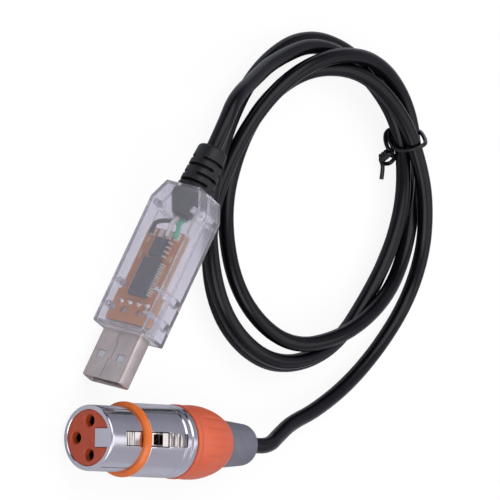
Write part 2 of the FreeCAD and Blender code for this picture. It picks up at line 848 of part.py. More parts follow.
def socket_centres():
    """Centres of the three sockets, looking at the nose, angles from the key."""
    return [(socket_circle_radius * math.sin(math.radians(angle)),
             socket_circle_radius * math.cos(math.radians(angle))) for angle in socket_angles_deg]


def make_xlr_insert():
    """Moulded insert with three stepped holes and the slot for the key and the latch."""
    rear = insert_length + insert_setback
    insert = rod(shell_bore_radius - insert_fit, Vec(insert_setback, 0, 0), Vec(rear, 0, 0))
    key_slot = box(0, rear + overrun, -key_width / 2 - key_fit, key_width / 2 + key_fit,
                   key_reach - key_fit, nose_radius)
    insert = insert.cut(key_slot)
    for y, z in socket_centres():
        front = Vec(insert_setback, y, z)
        insert = insert.cut(rod(socket_hole_radius, Vec(0, y, z), Vec(socket_start, y, z)))
        insert = insert.cut(cone(socket_hole_radius + socket_hole_chamfer, socket_hole_radius, front,
                                 front.add(Vec(socket_hole_chamfer, 0, 0))))
        insert = insert.cut(rod(socket_outer_radius, Vec(socket_start, y, z), Vec(rear + overrun, y, z)))
    return insert


def make_xlr_contacts():
    """Three turned sockets with a bore in front and a solder cup behind."""
    rear = insert_length + insert_setback
    shapes = []
    for y, z in socket_centres():
        body = rod(socket_outer_radius, Vec(socket_start, y, z), Vec(rear, y, z))
        cup_end = rear + socket_cup_length
        cup = rod(socket_cup_radius, Vec(rear, y, z), Vec(cup_end, y, z))
        cup = cup.cut(rod(socket_cup_bore, Vec(cup_end - socket_cup_depth, y, z), Vec(cup_end + overrun, y, z)))
        cup = cup.cut(box(cup_end - socket_cup_cut_length, cup_end + overrun, y - socket_outer_radius,
                          y + socket_outer_radius, z, z + socket_outer_radius))
        body = body.cut(rod(socket_bore_radius, Vec(socket_start, y, z), Vec(socket_start + socket_bore_length, y, z)))
        shapes.append(joined([body, cup]))
    return Part.makeCompound(shapes)


def make_color_ring():
    """Coloured ring in its seat, bevelled towards the nose."""
    seat = nose_radius - ring_seat_depth + ring_fit
    end = ring_start + ring_width
    return turned([(ring_start, seat), (ring_start, ring_radius - ring_bevel_drop),
                   (ring_start + ring_front_bevel, ring_radius), (end, ring_radius), (end, seat)])


save("xlr_housing", make_xlr_housing(), plug_place)
save("xlr_insert", make_xlr_insert(), plug_place)
save("xlr_contacts", make_xlr_contacts(), plug_place)
save("color_ring", make_color_ring(), plug_place)


# Latch
def make_xlr_latch():
    """Bent steel lever: a tooth under the ring, a dip, and a ribbed thumb pad with a barrel at its rear."""
    top = latch_top_radius
    thick = latch_thickness
    pad = latch_pad_radius
    outline = [(latch_front, top - latch_tooth_drop - thick), (latch_front, top - latch_tooth_drop),
               (latch_front + latch_tooth_length, top), (latch_dip_end - thick, top), (latch_dip_end, pad)]
    for k in range(latch_rib_count):
        rib_x = latch_rib_first_x + k * latch_rib_pitch
        outline += [(rib_x - latch_rib_width / 2, pad), (rib_x - latch_rib_width / 4, pad + latch_rib_height),
                    (rib_x + latch_rib_width / 4, pad + latch_rib_height), (rib_x + latch_rib_width / 2, pad)]
    outline += [(latch_pad_end, pad), (latch_pad_end, pad - thick), (latch_dip_end + thick, pad - thick),
                (latch_dip_end + thick, top - thick), (latch_front + latch_tooth_length, top - thick)]
    blade = face_of([Vec(x, -latch_width / 2, z) for x, z in outline]).extrude(Vec(0, latch_width, 0))
    centre = Vec(latch_pivot_x, 0, latch_pivot_radius)
    across = Vec(0, latch_width / 2, 0)
    barrel = rod(latch_barrel_radius, centre.sub(across), centre.add(across))
    web = box(latch_pivot_x - latch_barrel_radius, latch_pivot_x - latch_barrel_radius + thick,
              -latch_width / 2, latch_width / 2, latch_pivot_radius, pad - thick)
    hole = rod(latch_pin_radius + latch_pin_running_fit, centre.sub(Y_AXIS * slot_width), centre.add(Y_AXIS * slot_width))
    return joined([blade, web, barrel]).cut(hole)


def make_latch_pin():
    """Pin across the two lugs."""
    return rod(latch_pin_radius, Vec(latch_pivot_x, -latch_pin_length / 2, latch_pivot_radius),
               Vec(latch_pivot_x, latch_pin_length / 2, latch_pivot_radius))


def make_latch_spring():
    """Leaf spring from the bottom of the insert's slot up to the lever."""
    seat = key_reach - key_fit
    lever = latch_top_radius - latch_thickness - leaf_gap
    thick = leaf_thickness
    outline = [(leaf_foot_start, seat), (leaf_foot_end, seat), (leaf_top_x, lever - thick),
               (leaf_top_x, lever), (leaf_foot_end - thick, seat + thick), (leaf_foot_start, seat + thick)]
    return face_of([Vec(x, -leaf_width / 2, z) for x, z in outline]).extrude(Vec(0, leaf_width, 0))


save("xlr_latch", make_xlr_latch(), plug_place)
save("latch_pin", make_latch_pin(), plug_place)
save("latch_spring", make_latch_spring(), plug_place)


# Boot, bend relief and chuck
def make_boot():
    """Fluted barrel with a lip, an inner thread space and a mouth for the bend relief."""
    front = boot_front
    lip_end = front + boot_lip_length
    groove = boot_front_radius - boot_lip_groove
    inner = thread_radius + boot_thread_fit
    shoulder_x = front + boot_thread_depth
    mouth = bend_relief_radius + boot_mouth_clearance
    outer_start = Vec(lip_end + boot_lip_groove_width, boot_front_radius, 0)
    outer_top = Vec(boot_max_x, boot_max_radius, 0)
    outer_end = Vec(boot_end, boot_end_radius, 0)
    lip = Part.makePolygon([Vec(front, inner, 0), Vec(front, boot_lip_radius - boot_lip_bevel, 0),
                            Vec(front + boot_lip_bevel, boot_lip_radius, 0), Vec(lip_end, boot_lip_radius, 0),
                            Vec(lip_end, groove, 0), Vec(lip_end + boot_lip_groove_width, groove, 0), outer_start])
    barrel = Part.Arc(outer_start, outer_top, outer_end).toShape()
    shoulder_mouth = bend_relief_shoulder_radius + boot_mouth_clearance
    inside = Part.makePolygon([outer_end, Vec(boot_end, mouth, 0), Vec(bend_relief_shoulder, mouth, 0),
                               Vec(bend_relief_shoulder - boot_gap, shoulder_mouth, 0),
                               Vec(bend_relief_front - boot_gap, shoulder_mouth, 0),
                               Vec(shoulder_x, inner, 0), Vec(front, inner, 0)])
    section = Part.Face(Part.Wire(Part.__sortEdges__(lip.Edges + [barrel] + inside.Edges)))
    boot = section.revolve(ORIGIN, X_AXIS, 360)
    flute_first_x = lip_end + boot_lip_groove_width + flute_behind_lip
    flute_last_x = boot_end - flute_before_end
    places = []
    for x, sunk in ((flute_first_x, 0), ((flute_first_x + flute_last_x) / 2, flute_depth), (flute_last_x, 0)):
        across = barrel.Curve.intersect(Part.Line(Vec(x, 0, 0), Vec(x, boot_max_radius, 0)))
        surface = max(Vec(point.X, point.Y, point.Z).y for point in across)
        places.append(Vec(x, surface + flute_radius - sunk, 0))
    flute_path = Part.Arc(places[0], places[1], places[2]).toShape()
    first_way = flute_path.tangentAt(flute_path.FirstParameter)
    section = Part.Wire([Part.Circle(flute_path.valueAt(flute_path.FirstParameter), first_way, flute_radius).toShape()])
    flute = Part.Wire([flute_path]).makePipeShell([section], True, False)
    for k in range(flute_count):
        cutter = flute.copy()
        cutter.rotate(ORIGIN, X_AXIS, 360 * (k + half) / flute_count)
        boot = boot.cut(cutter)
    return boot


def make_bend_relief():
    """Soft relief with a shoulder inside the boot and a rounded tip round the cable."""
    bore = cable_radius + bend_relief_bore_gap
    outline = [Vec(bend_relief_front, bore, 0), Vec(bend_relief_front, bend_relief_shoulder_radius, 0),
               Vec(bend_relief_shoulder - 2 * boot_gap, bend_relief_shoulder_radius, 0),
               Vec(bend_relief_shoulder, bend_relief_radius, 0), Vec(boot_end, bend_relief_radius, 0),
               Vec(bend_relief_end - bend_relief_round, bend_relief_tip_radius, 0)]
    tip = Vec(bend_relief_end, bend_relief_tip_radius - bend_relief_round, 0)
    corner = bend_relief_round * (1 - math.sqrt(half))
    middle = Vec(bend_relief_end - corner, bend_relief_tip_radius - corner, 0)
    front = Part.makePolygon(outline)
    nose = Part.Arc(outline[-1], middle, tip).toShape()
    back = Part.makePolygon([tip, Vec(bend_relief_end, bore, 0), outline[0]])
    section = Part.Face(Part.Wire(Part.__sortEdges__(front.Edges + [nose] + back.Edges)))
    return section.revolve(ORIGIN, X_AXIS, 360)


def make_cable_chuck():
    """Slotted clamp that the boot squeezes onto the cable."""
    bore = cable_radius + chuck_bore_gap
    end = chuck_start + chuck_length
    chuck = turned([(chuck_start, bore), (chuck_start, rear_bore_radius - insert_fit),
                    (chuck_start + chuck_flange_length, rear_bore_radius - insert_fit),
                    (chuck_start + chuck_flange_length, chuck_front_radius), (end, chuck_rear_radius), (end, bore)])
    for turn_deg in (0, 90):
        slot = box(chuck_start + chuck_flange_length * 2, end + overrun, -chuck_slot_width / 2, chuck_slot_width / 2,
                   -body_radius, body_radius)
        slot.rotate(ORIGIN, X_AXIS, turn_deg)
        chuck = chuck.cut(slot)
    return chuck


save("boot", make_boot(), plug_place)
save("bend_relief", make_bend_relief(), plug_place)
save("cable_chuck", make_cable_chuck(), plug_place)
jacket_rear_x = bend_relief_end + boot_travel + jacket_spare
save("cable_xlr_end", rod(cable_radius, Vec(jacket_front_x, 0, 0), Vec(jacket_rear_x, 0, 0)), plug_place)

# Wires from the jacket to the solder cups
plug_wires = []
cup_seat_x = insert_length + insert_setback + socket_cup_length - socket_cup_depth + wire_seat_gap
core_wire_radius = socket_cup_bore - wire_seat_gap
for index, (cup_y, cup_z) in enumerate(socket_centres()):
    jacket_y = wire_circle_radius * cup_y / socket_circle_radius
    jacket_z = wire_circle_radius * cup_z / socket_circle_radius
    cup_mouth_x = insert_length + insert_setback + socket_cup_length
    wire_span = jacket_front_x - cup_mouth_x
    wire_route = [Vec(cup_seat_x, cup_y, cup_z), Vec(cup_mouth_x + wire_span / 4, cup_y, cup_z),
                  Vec(jacket_front_x - wire_span / 4, jacket_y, jacket_z), Vec(jacket_front_x, jacket_y, jacket_z)]
    plug_wires.append(cord(wire_route, core_wire_radius, "plug wire"))
save("xlr_wires", Part.makeCompound(plug_wires), plug_place)


# Coil
def coil_point(k):
    """Place k quarter turns round the coil, from its table of radius and height."""
    radius, height = coil_places[k]
    angle = math.radians(coil_tie_angle_deg + k * quarter_turn_deg)
    return Vec(coil_centre_x + radius * math.cos(angle), coil_centre_y + radius * math.sin(angle), height)


def coil_tangent(k):
    """Unit direction of the coil at place k, from its neighbours' radii and heights."""
    before = coil_places[max(k - 1, 0)]
    after = coil_places[min(k + 1, quarter_turn_count)]
    spans = min(k + 1, quarter_turn_count) - max(k - 1, 0)
    angle = math.radians(coil_tie_angle_deg + k * quarter_turn_deg)
    arc = coil_places[k][0] * math.pi / 2
    outwards = (after[0] - before[0]) / spans / arc
    upwards = (after[1] - before[1]) / spans / arc
    if k == 0:
        outwards = -coil_start_inwards_share
        upwards = -coil_start_downwards_share
    along = Vec(math.sin(angle), -math.cos(angle), 0)
    radial = Vec(math.cos(angle), math.sin(angle), 0)
    return along.add(radial * outwards).add(Z_AXIS * upwards).normalize()


def biarc(start, start_way, end, end_way):
    """Two arcs that leave one point and reach another along given directions."""
    across = end.sub(start)
    ways = start_way.add(end_way)
    a = 2 * (1 - start_way.dot(end_way))
    b = 2 * across.dot(ways)
    c = -across.dot(across)
    reach = (-b + math.sqrt(b * b - 4 * a * c)) / (2 * a)
    first = start.add(start_way * reach)
    second = end.sub(end_way * reach)
    middle = first.add(second).multiply(half)
    arcs = []
    for near, corner, far in ((start, first, middle), (middle, second, end)):
        chord_middle = near.add(far).multiply(half)
        bow = corner.sub(chord_middle)
        half_chord = far.sub(near).Length / 2
        side = corner.sub(near).Length
        radius = side * half_chord / bow.Length
        rise = radius - math.sqrt(radius ** 2 - half_chord ** 2)
        arcs.append(Part.Arc(near, chord_middle.add(bow.normalize().multiply(rise)), far).toShape())
    return arcs


coil_start = coil_point(0)
coil_end = coil_point(quarter_turn_count)
start_way = coil_tangent(0)
end_way = coil_tangent(quarter_turn_count)


def make_coil():
    """Three turns of cable in one unbroken tube, straight for one diameter at both ends."""
    points = [coil_point(k) for k in range(quarter_turn_count + 1)]
    ways = [coil_tangent(k) for k in range(quarter_turn_count + 1)]
    points[0] = coil_start.add(start_way * cable_diameter)
    points[-1] = coil_end.sub(end_way * cable_diameter)
    edges = [Part.LineSegment(coil_start, points[0]).toShape()]
    for k in range(quarter_turn_count):
        edges += biarc(points[k], ways[k], points[k + 1], ways[k + 1])
    edges.append(Part.LineSegment(points[-1], coil_end).toShape())
    wire = Part.Wire(edges)
    section = Part.Wire([Part.Circle(coil_start, start_way, cable_radius).toShape()])
    coil = wire.makePipeShell([section], True, False)
    arcs = [edge.Curve.Radius for edge in edges[1:-1]]
    print("coil length", round(wire.Length, 1), "tightest arc", round(min(arcs), 1),
          "volume over section times length", round(coil.Volume / (math.pi * cable_radius ** 2 * wire.Length), 4))
    return coil, wire


def least_gap(wires, lead_names):
    """Least gap of the coil to itself and to the free stretches, on points along their middle lines."""
    step = cable_radius
    lines = [wire.discretize(Distance=step) for wire in wires]
    coil_line = lines[0]
    apart = int(2 * cable_diameter * math.pi / step)
    own = min(coil_line[i].distanceToPoint(coil_line[j])
              for i in range(len(coil_line)) for j in range(i + apart, len(coil_line)))
    print("coil least gap to itself", round(own - cable_diameter, 2))
    for line, lead_name in zip(lines[1:], lead_names):
        near = [(p.distanceToPoint(q), round(p.x), round(p.y), round(p.z, 1)) for p in line for q in coil_line
                if p.distanceToPoint(coil_start) > 2 * cable_diameter and p.distanceToPoint(coil_end) > 2 * cable_diameter]
        print(lead_name, "least gap to the coil", round(min(near)[0] - cable_diameter, 2), "at", min(near)[1:])


coil, coil_wire = make_coil()
save("cable_coil", coil, flat_place)

# Free stretches of the cable
relief_exit = dongle_place.multVec(Vec(relief_end_x, 0, 0))
relief_way = dongle_turn.multVec(Vec(-1, 0, 0))
dongle_route = [relief_exit, relief_exit.add(relief_way * dongle_lead_first_run)]
dongle_route += [Vec(*point) for point in dongle_lead_points]
dongle_route += [coil_start.sub(start_way * dongle_lead_last_run), coil_start]
save("cable_dongle_lead", cord(dongle_route, cable_radius, "dongle lead"), flat_place)

plug_exit = plug_place.multVec(Vec(jacket_rear_x, 0, 0))
plug_way = plug_turn.multVec(X_AXIS)
plug_route = [coil_end, coil_end.add(end_way * plug_lead_first_run)]
plug_route += [Vec(*point) for point in plug_lead_points]
plug_route += [plug_exit.add(plug_way * plug_lead_last_run), plug_exit]
save("cable_xlr_lead", cord(plug_route, cable_radius, "plug lead"), flat_place)
least_gap([coil_wire, cord_path(dongle_route, "dongle lead"), cord_path(plug_route, "plug lead")],
          ("dongle lead", "plug lead"))


# Twist tie
tie_angle = math.radians(coil_tie_angle_deg)
tie_radial = Vec(math.cos(tie_angle), math.sin(tie_angle), 0)
tie_along = Vec(math.sin(tie_angle), -math.cos(tie_angle), 0)
tie_wire_radius = tie_wire_diameter / 2
tie_offset = cable_radius + tie_gap + tie_wire_radius


def tie_strand(turns):
    """Middle of the strand that passes the tie after a number of turns."""
    radius, height = coil_places[turns * turn_quarter_count]
    return Vec(coil_centre_x, coil_centre_y, height).add(tie_radial * radius)


def make_tie_loop():
    """Wire loop pulled round the four strands like a belt."""
    strands = [tie_strand(turns) for turns in (0, 3, 2, 1)]
    middle = strands[0].add(strands[1]).add(strands[2]).add(strands[3]) * (1 / len(strands))
    edges = []
    sides = []
    for here, after in zip(strands, strands[1:] + strands[:1]):
        outwards = after.sub(here).cross(tie_along).normalize()
        if outwards.dot(here.sub(middle)) < 0:
            outwards = outwards * -1
        sides.append((here.add(outwards * tie_offset), after.add(outwards * tie_offset), after, outwards))
    for here, after in zip(sides, sides[1:] + sides[:1]):
        bisector = here[3].add(after[3]).normalize()
        edges.append(Part.LineSegment(here[0], here[1]).toShape())
        edges.append(Part.Arc(here[1], here[2].add(bisector * tie_offset), after[0]).toShape())
    first = edges[0]
    section = Part.Wire([Part.Circle(first.valueAt(0), first.tangentAt(0), tie_wire_radius).toShape()])
    return Part.Wire(edges).makePipeShell([section], True, False)


def make_tie_ends():
    """The two ends of the wire as one plain stub, with one of them running on as a tail."""
    inner = tie_strand(1)
    start = inner.sub(tie_radial * tie_offset)
    run = tie_radial * -tie_twist_inwards
    run = run.add(tie_along * tie_twist_along).sub(Z_AXIS * tie_twist_drop)
    end = start.add(run)
    tail_run = tie_along * tie_tail_along
    tail_run = tail_run.add(tie_radial * tie_tail_outwards).sub(Z_AXIS * tie_tail_drop)
    stub = rod(tie_wire_radius * tie_stub_radius_share, start, end)
    knob = Part.makeSphere(tie_wire_radius * tie_knob_radius_share, end)
    tail = rod(tie_wire_radius, end, end.add(tail_run))
    return [stub, knob, tail]


tie_pieces = [make_tie_loop()] + make_tie_ends()
twist_tie = joined(tie_pieces)
print("tie lowest point", round(twist_tie.BoundBox.ZMin, 2), "volume", round(twist_tie.Volume, 2),
      "solids", len(twist_tie.Solids))
save("twist_tie", twist_tie, flat_place)
print("sub-parts", node_count)
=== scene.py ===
"""A USB to DMX interface cable, dressed for a studio picture.

A clear dongle with its circuit board, a tied coil of black cable and a latching XLR plug are dressed over
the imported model, which is the frame. Places are in metres in that frame, and the surface is Z = 0.
"""

import logging
import math
from dataclasses import dataclass
from enum import Enum
from typing import Any, Callable, Sequence

import bpy
from mathutils import Matrix, Vector

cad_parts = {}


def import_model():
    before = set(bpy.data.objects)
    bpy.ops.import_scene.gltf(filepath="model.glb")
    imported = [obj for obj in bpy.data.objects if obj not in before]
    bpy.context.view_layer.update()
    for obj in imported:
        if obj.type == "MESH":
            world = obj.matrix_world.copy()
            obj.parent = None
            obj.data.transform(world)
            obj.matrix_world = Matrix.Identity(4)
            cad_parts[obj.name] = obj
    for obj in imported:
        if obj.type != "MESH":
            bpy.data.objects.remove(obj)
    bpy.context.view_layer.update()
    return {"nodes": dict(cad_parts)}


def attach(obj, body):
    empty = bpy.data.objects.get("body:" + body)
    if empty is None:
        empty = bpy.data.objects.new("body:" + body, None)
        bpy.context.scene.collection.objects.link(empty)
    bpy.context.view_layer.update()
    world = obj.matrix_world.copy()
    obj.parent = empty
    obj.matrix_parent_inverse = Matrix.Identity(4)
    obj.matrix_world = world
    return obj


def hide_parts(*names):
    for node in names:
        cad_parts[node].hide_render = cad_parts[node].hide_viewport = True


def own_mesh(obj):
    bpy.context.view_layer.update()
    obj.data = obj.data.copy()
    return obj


MM = 0.001
LOG = logging.getLogger("dmx_cable")
Point = tuple[float, float, float]
Profile = Sequence[tuple[float, float]]
# Sockets of a Mix node that mixes colours, and the setting that makes it one
MIX_A, MIX_B, MIX_OUT = 6, 7, 2
AS_COLOUR = {"data_type": "RGBA"}
# Noise lies mostly between these values
NOISE_SPAN = {"From Min": 0.3, "From Max": 0.7}
WHITE = (1, 1, 1, 1)


class Body(Enum):
    """Bodies of the frame that pieces ride on."""

    BASE = "base"
    LATCH = "latch"
    REAR_RELIEF = "rear_relief"
    REAR_BOOT = "rear_boot"


class Track(Enum):
    """Which way a metal was rubbed or drawn, as the stretch of its grain."""

    NONE = (1.0, 1.0, 1.0)
    ALONG = (0.06, 1.0, 1.0)


@dataclass(frozen=True)
class Spot:
    """Where a sub-assembly stands: its origin in millimetres and its turn about X, Y and Z."""

    origin_mm: Point
    turn_deg: Point

    def matrix(self) -> Matrix:
        """Matrix from the sub-assembly's own millimetres to metres in the frame.

        Returns:
            The matrix.
        """
        turn_x, turn_y, turn_z = (Matrix.Rotation(math.radians(angle), 4, axis)
                                  for angle, axis in zip(self.turn_deg, "XYZ"))
        turn = turn_z @ turn_y @ turn_x
        return Matrix.Scale(MM, 4) @ Matrix.Translation(self.origin_mm) @ turn


ROW = Spot((0.0, 0.0, 0.0), (0.0, 0.0, 0.0))
DONGLE = Spot((18.66065, 0.0, 8.457326), (81.4, 9.15, 0.0))
PLUG = Spot((47.8, -2.4, 9.2), (0.0, 0.0, 114.5))

# ---------------------------------------------------------------- nodes


def linear(code: str) -> tuple[float, float, float, float]:
    """Turn an sRGB hex colour into linear RGBA.

    Args:
        code: Six hex digits, with or without a leading hash.

    Returns:
        Red, green, blue and alpha, linear, from 0 to 1.
    """
    digits = code.lstrip("#")
    parts = [int(digits[i:i + 2], 16) / 255 for i in (0, 2, 4)]
    lin = [p / 12.92 if p <= 0.04045 else ((p + 0.055) / 1.055) ** 2.4 for p in parts]
    return lin[0], lin[1], lin[2], 1.0


def add_node(tree: bpy.types.NodeTree, kind: str, inputs: dict[Any, Any] | None = None,
             settings: dict[str, Any] | None = None, out: Any = 0) -> Any:
    """Add a node with its values, links and settings.

    Args:
        tree: Node tree that takes the node.
        kind: Blender's name of the node type, without its ShaderNode prefix.
        inputs: Input name or number to a value, or to the output socket that feeds it.
        settings: Attributes set on the node.
        out: Name or number of the output that is wanted.

    Returns:
        That output socket, or None where the node has none.
    """
    node = tree.nodes.new("ShaderNode" + kind)
    for key, value in (settings or {}).items():
        setattr(node, key, value)
    for key, value in (inputs or {}).items():
        if isinstance(value, bpy.types.NodeSocket):
            tree.links.new(value, node.inputs[key])
        else:
            node.inputs[key].default_value = value
    return node.outputs[out] if len(node.outputs) else None


def per_metre(size_mm: float) -> float:
    """Noise scale whose features are about a size in millimetres across."""
    return 1.0 / (size_mm * MM)


def fresh_tree(name: str) -> tuple[bpy.types.Material, bpy.types.NodeTree]:
    """Make a material with an empty node tree.

    Args:
        name: The material's name.

    Returns:
        The material and its tree.
    """
    material = bpy.data.materials.new(name)
    material.use_nodes = True
    material.node_tree.nodes.clear()
    return material, material.node_tree


def local_coords(tree: bpy.types.NodeTree, spot: Spot = ROW, stretch: Point = (1, 1, 1)) -> Any:
    """Object coordinates in a sub-assembly's own axes, in metres, stretched.

    Args:
        tree: Node tree.
        spot: The sub-assembly's place.
        stretch: Scale along its axes.

    Returns:
        The vector output.
    """
    place = add_node(tree, "TexCoord", out="Object")
    turned_back = add_node(tree, "Mapping", {"Vector": place, "Location": [c * MM for c in spot.origin_mm],
                                             "Rotation": [math.radians(a) for a in spot.turn_deg]},
                           {"vector_type": "TEXTURE"})
    return add_node(tree, "VectorMath", {0: turned_back, 1: stretch}, {"operation": "MULTIPLY"})


# ---------------------------------------------------------------- finishes


@dataclass(frozen=True)
class Skin:
    """What opaque finishes share: two tones in soft clouds, and a fine grain."""

    name: str
    colour: str
    shade: str
    roughness: float = 0.45
    roughness_spread: float = 0.08
    mottle_mm: float = 5.0
    grain_mm: float = 0.35
    grain_depth_mm: float = 0.012

    def _made(self, grain_place: tuple[Spot, Point], detail: float, worn_by_grain: bool,
              shading: dict[str, Any]) -> bpy.types.Material:
        """Make the material.

        Args:
            grain_place: Sub-assembly whose axes the grain follows, and the grain's stretch along them.
            detail: Detail of the grain's noise.
            worn_by_grain: Whether the roughness follows the grain, and not the clouds.
            shading: What else the shader is set to.

        Returns:
            The material.
        """
        material, tree = fresh_tree(self.name)
        cloud = add_node(tree, "TexNoise", {"Vector": local_coords(tree), "Scale": per_metre(self.mottle_mm),
                                            "Detail": 3.0})
        share = add_node(tree, "MapRange", {"Value": cloud, **NOISE_SPAN})
        colour = add_node(tree, "Mix", {0: share, MIX_A: linear(self.colour), MIX_B: linear(self.shade)},
                          AS_COLOUR, MIX_OUT)
        grain = add_node(tree, "TexNoise", {"Vector": local_coords(tree, *grain_place),
                                            "Scale": per_metre(self.grain_mm), "Detail": detail})
        wear = {"Value": grain, **NOISE_SPAN} if worn_by_grain else {"Value": share}
        rough = add_node(tree, "MapRange", {**wear, "To Min": self.roughness - self.roughness_spread,
                                            "To Max": self.roughness + self.roughness_spread})
        bump = add_node(tree, "Bump", {"Height": grain, "Distance": self.grain_depth_mm * MM})
        shader = add_node(tree, "BsdfPrincipled", {"Base Color": colour, "Roughness": rough, "Normal": bump,
                                                   **shading})
        add_node(tree, "OutputMaterial", {"Surface": shader})
        return material


@dataclass(frozen=True)
class Moulded(Skin):
    """Opaque plastic or rubber from a mould or an extruder: cloudy colour and gloss over a fine grain."""

    specular: float = 0.5
    ior: float = 1.5

    def build(self) -> bpy.types.Material:
        """Make the material and return it."""
        gloss = {"IOR": self.ior, "Specular IOR Level": self.specular}
        return self._made((ROW, Track.NONE.value), 2.0, False, gloss)


@dataclass(frozen=True)
class Metal(Skin):
    """Plated, drawn or pressed metal: rubbed grain that breaks up the reflections."""

    roughness: float = 0.25
    mottle_mm: float = 4.0
    grain_mm: float = 0.25
    grain_depth_mm: float = 0.004
    track: Track = Track.NONE
    spot: Spot = ROW

    def build(self) -> bpy.types.Material:
        """Make the material and return it."""
        return self._made((self.spot, self.track.value), 4.0, True, {"Metallic": 1.0})


@dataclass(frozen=True)
class ClearMoulding:
    """Clear plastic case, polished outside and hazed inside, told apart by the depth below its outline."""

    name: str
    colour: str
    outside_roughness: float = 0.06
    inside_roughness: float = 0.19
    haze_mm: float = 4.0
    haze_share: tuple[float, float] = (0.8, 1.2)
    transmission: float = 0.93
    ior: float = 1.45
    swirl_mm: float = 6.0
    swirl_depth_mm: float = 0.06
    half_width_mm: float = 7.9
    half_height_mm: float = 5.05
    length_mm: float = 39.4
    taper_start_mm: float = 34.5
    taper_slope: tuple[float, float] = (0.4545, 0.8907)
    skin_mm: float = 0.12

    def _depth(self, tree: bpy.types.NodeTree, place: Any) -> Any:
        """How far outside the case's outline a point lies.

        Args:
            tree: Node tree.
            place: The dongle's own coordinates in metres.

        Returns:
            Output in metres, below zero inside.
        """
        minus = {"operation": "SUBTRACT"}
        x = add_node(tree, "SeparateXYZ", {"Vector": place})
        side = add_node(tree, "Math", {0: x.node.outputs["Y"]}, {"operation": "ABSOLUTE"})
        face = add_node(tree, "Math", {0: x.node.outputs["Z"]}, {"operation": "ABSOLUTE"})
        past_side = add_node(tree, "Math", {0: side, 1: self.half_width_mm * MM}, minus)
        past_face = add_node(tree, "Math", {0: face, 1: self.half_height_mm * MM}, minus)
        past_rear = add_node(tree, "Math", {0: -self.length_mm * MM, 1: x}, minus)
        behind = add_node(tree, "Math", {0: -self.taper_start_mm * MM, 1: x}, minus)
        sloped = add_node(tree, "Math", {0: behind, 1: self.taper_slope[0]}, {"operation": "MULTIPLY"})
        past_taper = add_node(tree, "Math", {0: past_side, 1: self.taper_slope[1], 2: sloped},
                              {"operation": "MULTIPLY_ADD"})
        nearest = past_side
        for other in (past_face, x, past_rear, past_taper):
            nearest = add_node(tree, "Math", {0: nearest, 1: other}, {"operation": "MAXIMUM"})
        return nearest

    def build(self) -> bpy.types.Material:
        """Make the material.

        Returns:
            The material.
        """
        material, tree = fresh_tree(self.name)
        place = local_coords(tree, DONGLE)
        skin = self.skin_mm * MM
        rough = add_node(tree, "MapRange", {"Value": self._depth(tree, place), "From Min": -skin,
                                            "From Max": -skin / 2, "To Min": self.inside_roughness,
                                            "To Max": self.outside_roughness})
        haze = add_node(tree, "TexNoise", {"Vector": place, "Scale": per_metre(self.haze_mm), "Detail": 2.0})
        share = add_node(tree, "MapRange", {"Value": haze, **NOISE_SPAN, "To Min": self.haze_share[0],
                                            "To Max": self.haze_share[1]})
        varied = add_node(tree, "Math", {0: rough, 1: share}, {"operation": "MULTIPLY"})
        swirl = add_node(tree, "TexNoise", {"Vector": place, "Scale": per_metre(self.swirl_mm),
                                            "Detail": 1.5})
        bump = add_node(tree, "Bump", {"Height": swirl, "Distance": self.swirl_depth_mm * MM})
        shader = add_node(tree, "BsdfPrincipled", {
            "Base Color": linear(self.colour), "Roughness": varied, "IOR": self.ior,
            "Transmission Weight": self.transmission, "Normal": bump})
        add_node(tree, "OutputMaterial", {"Surface": shader})
        return material


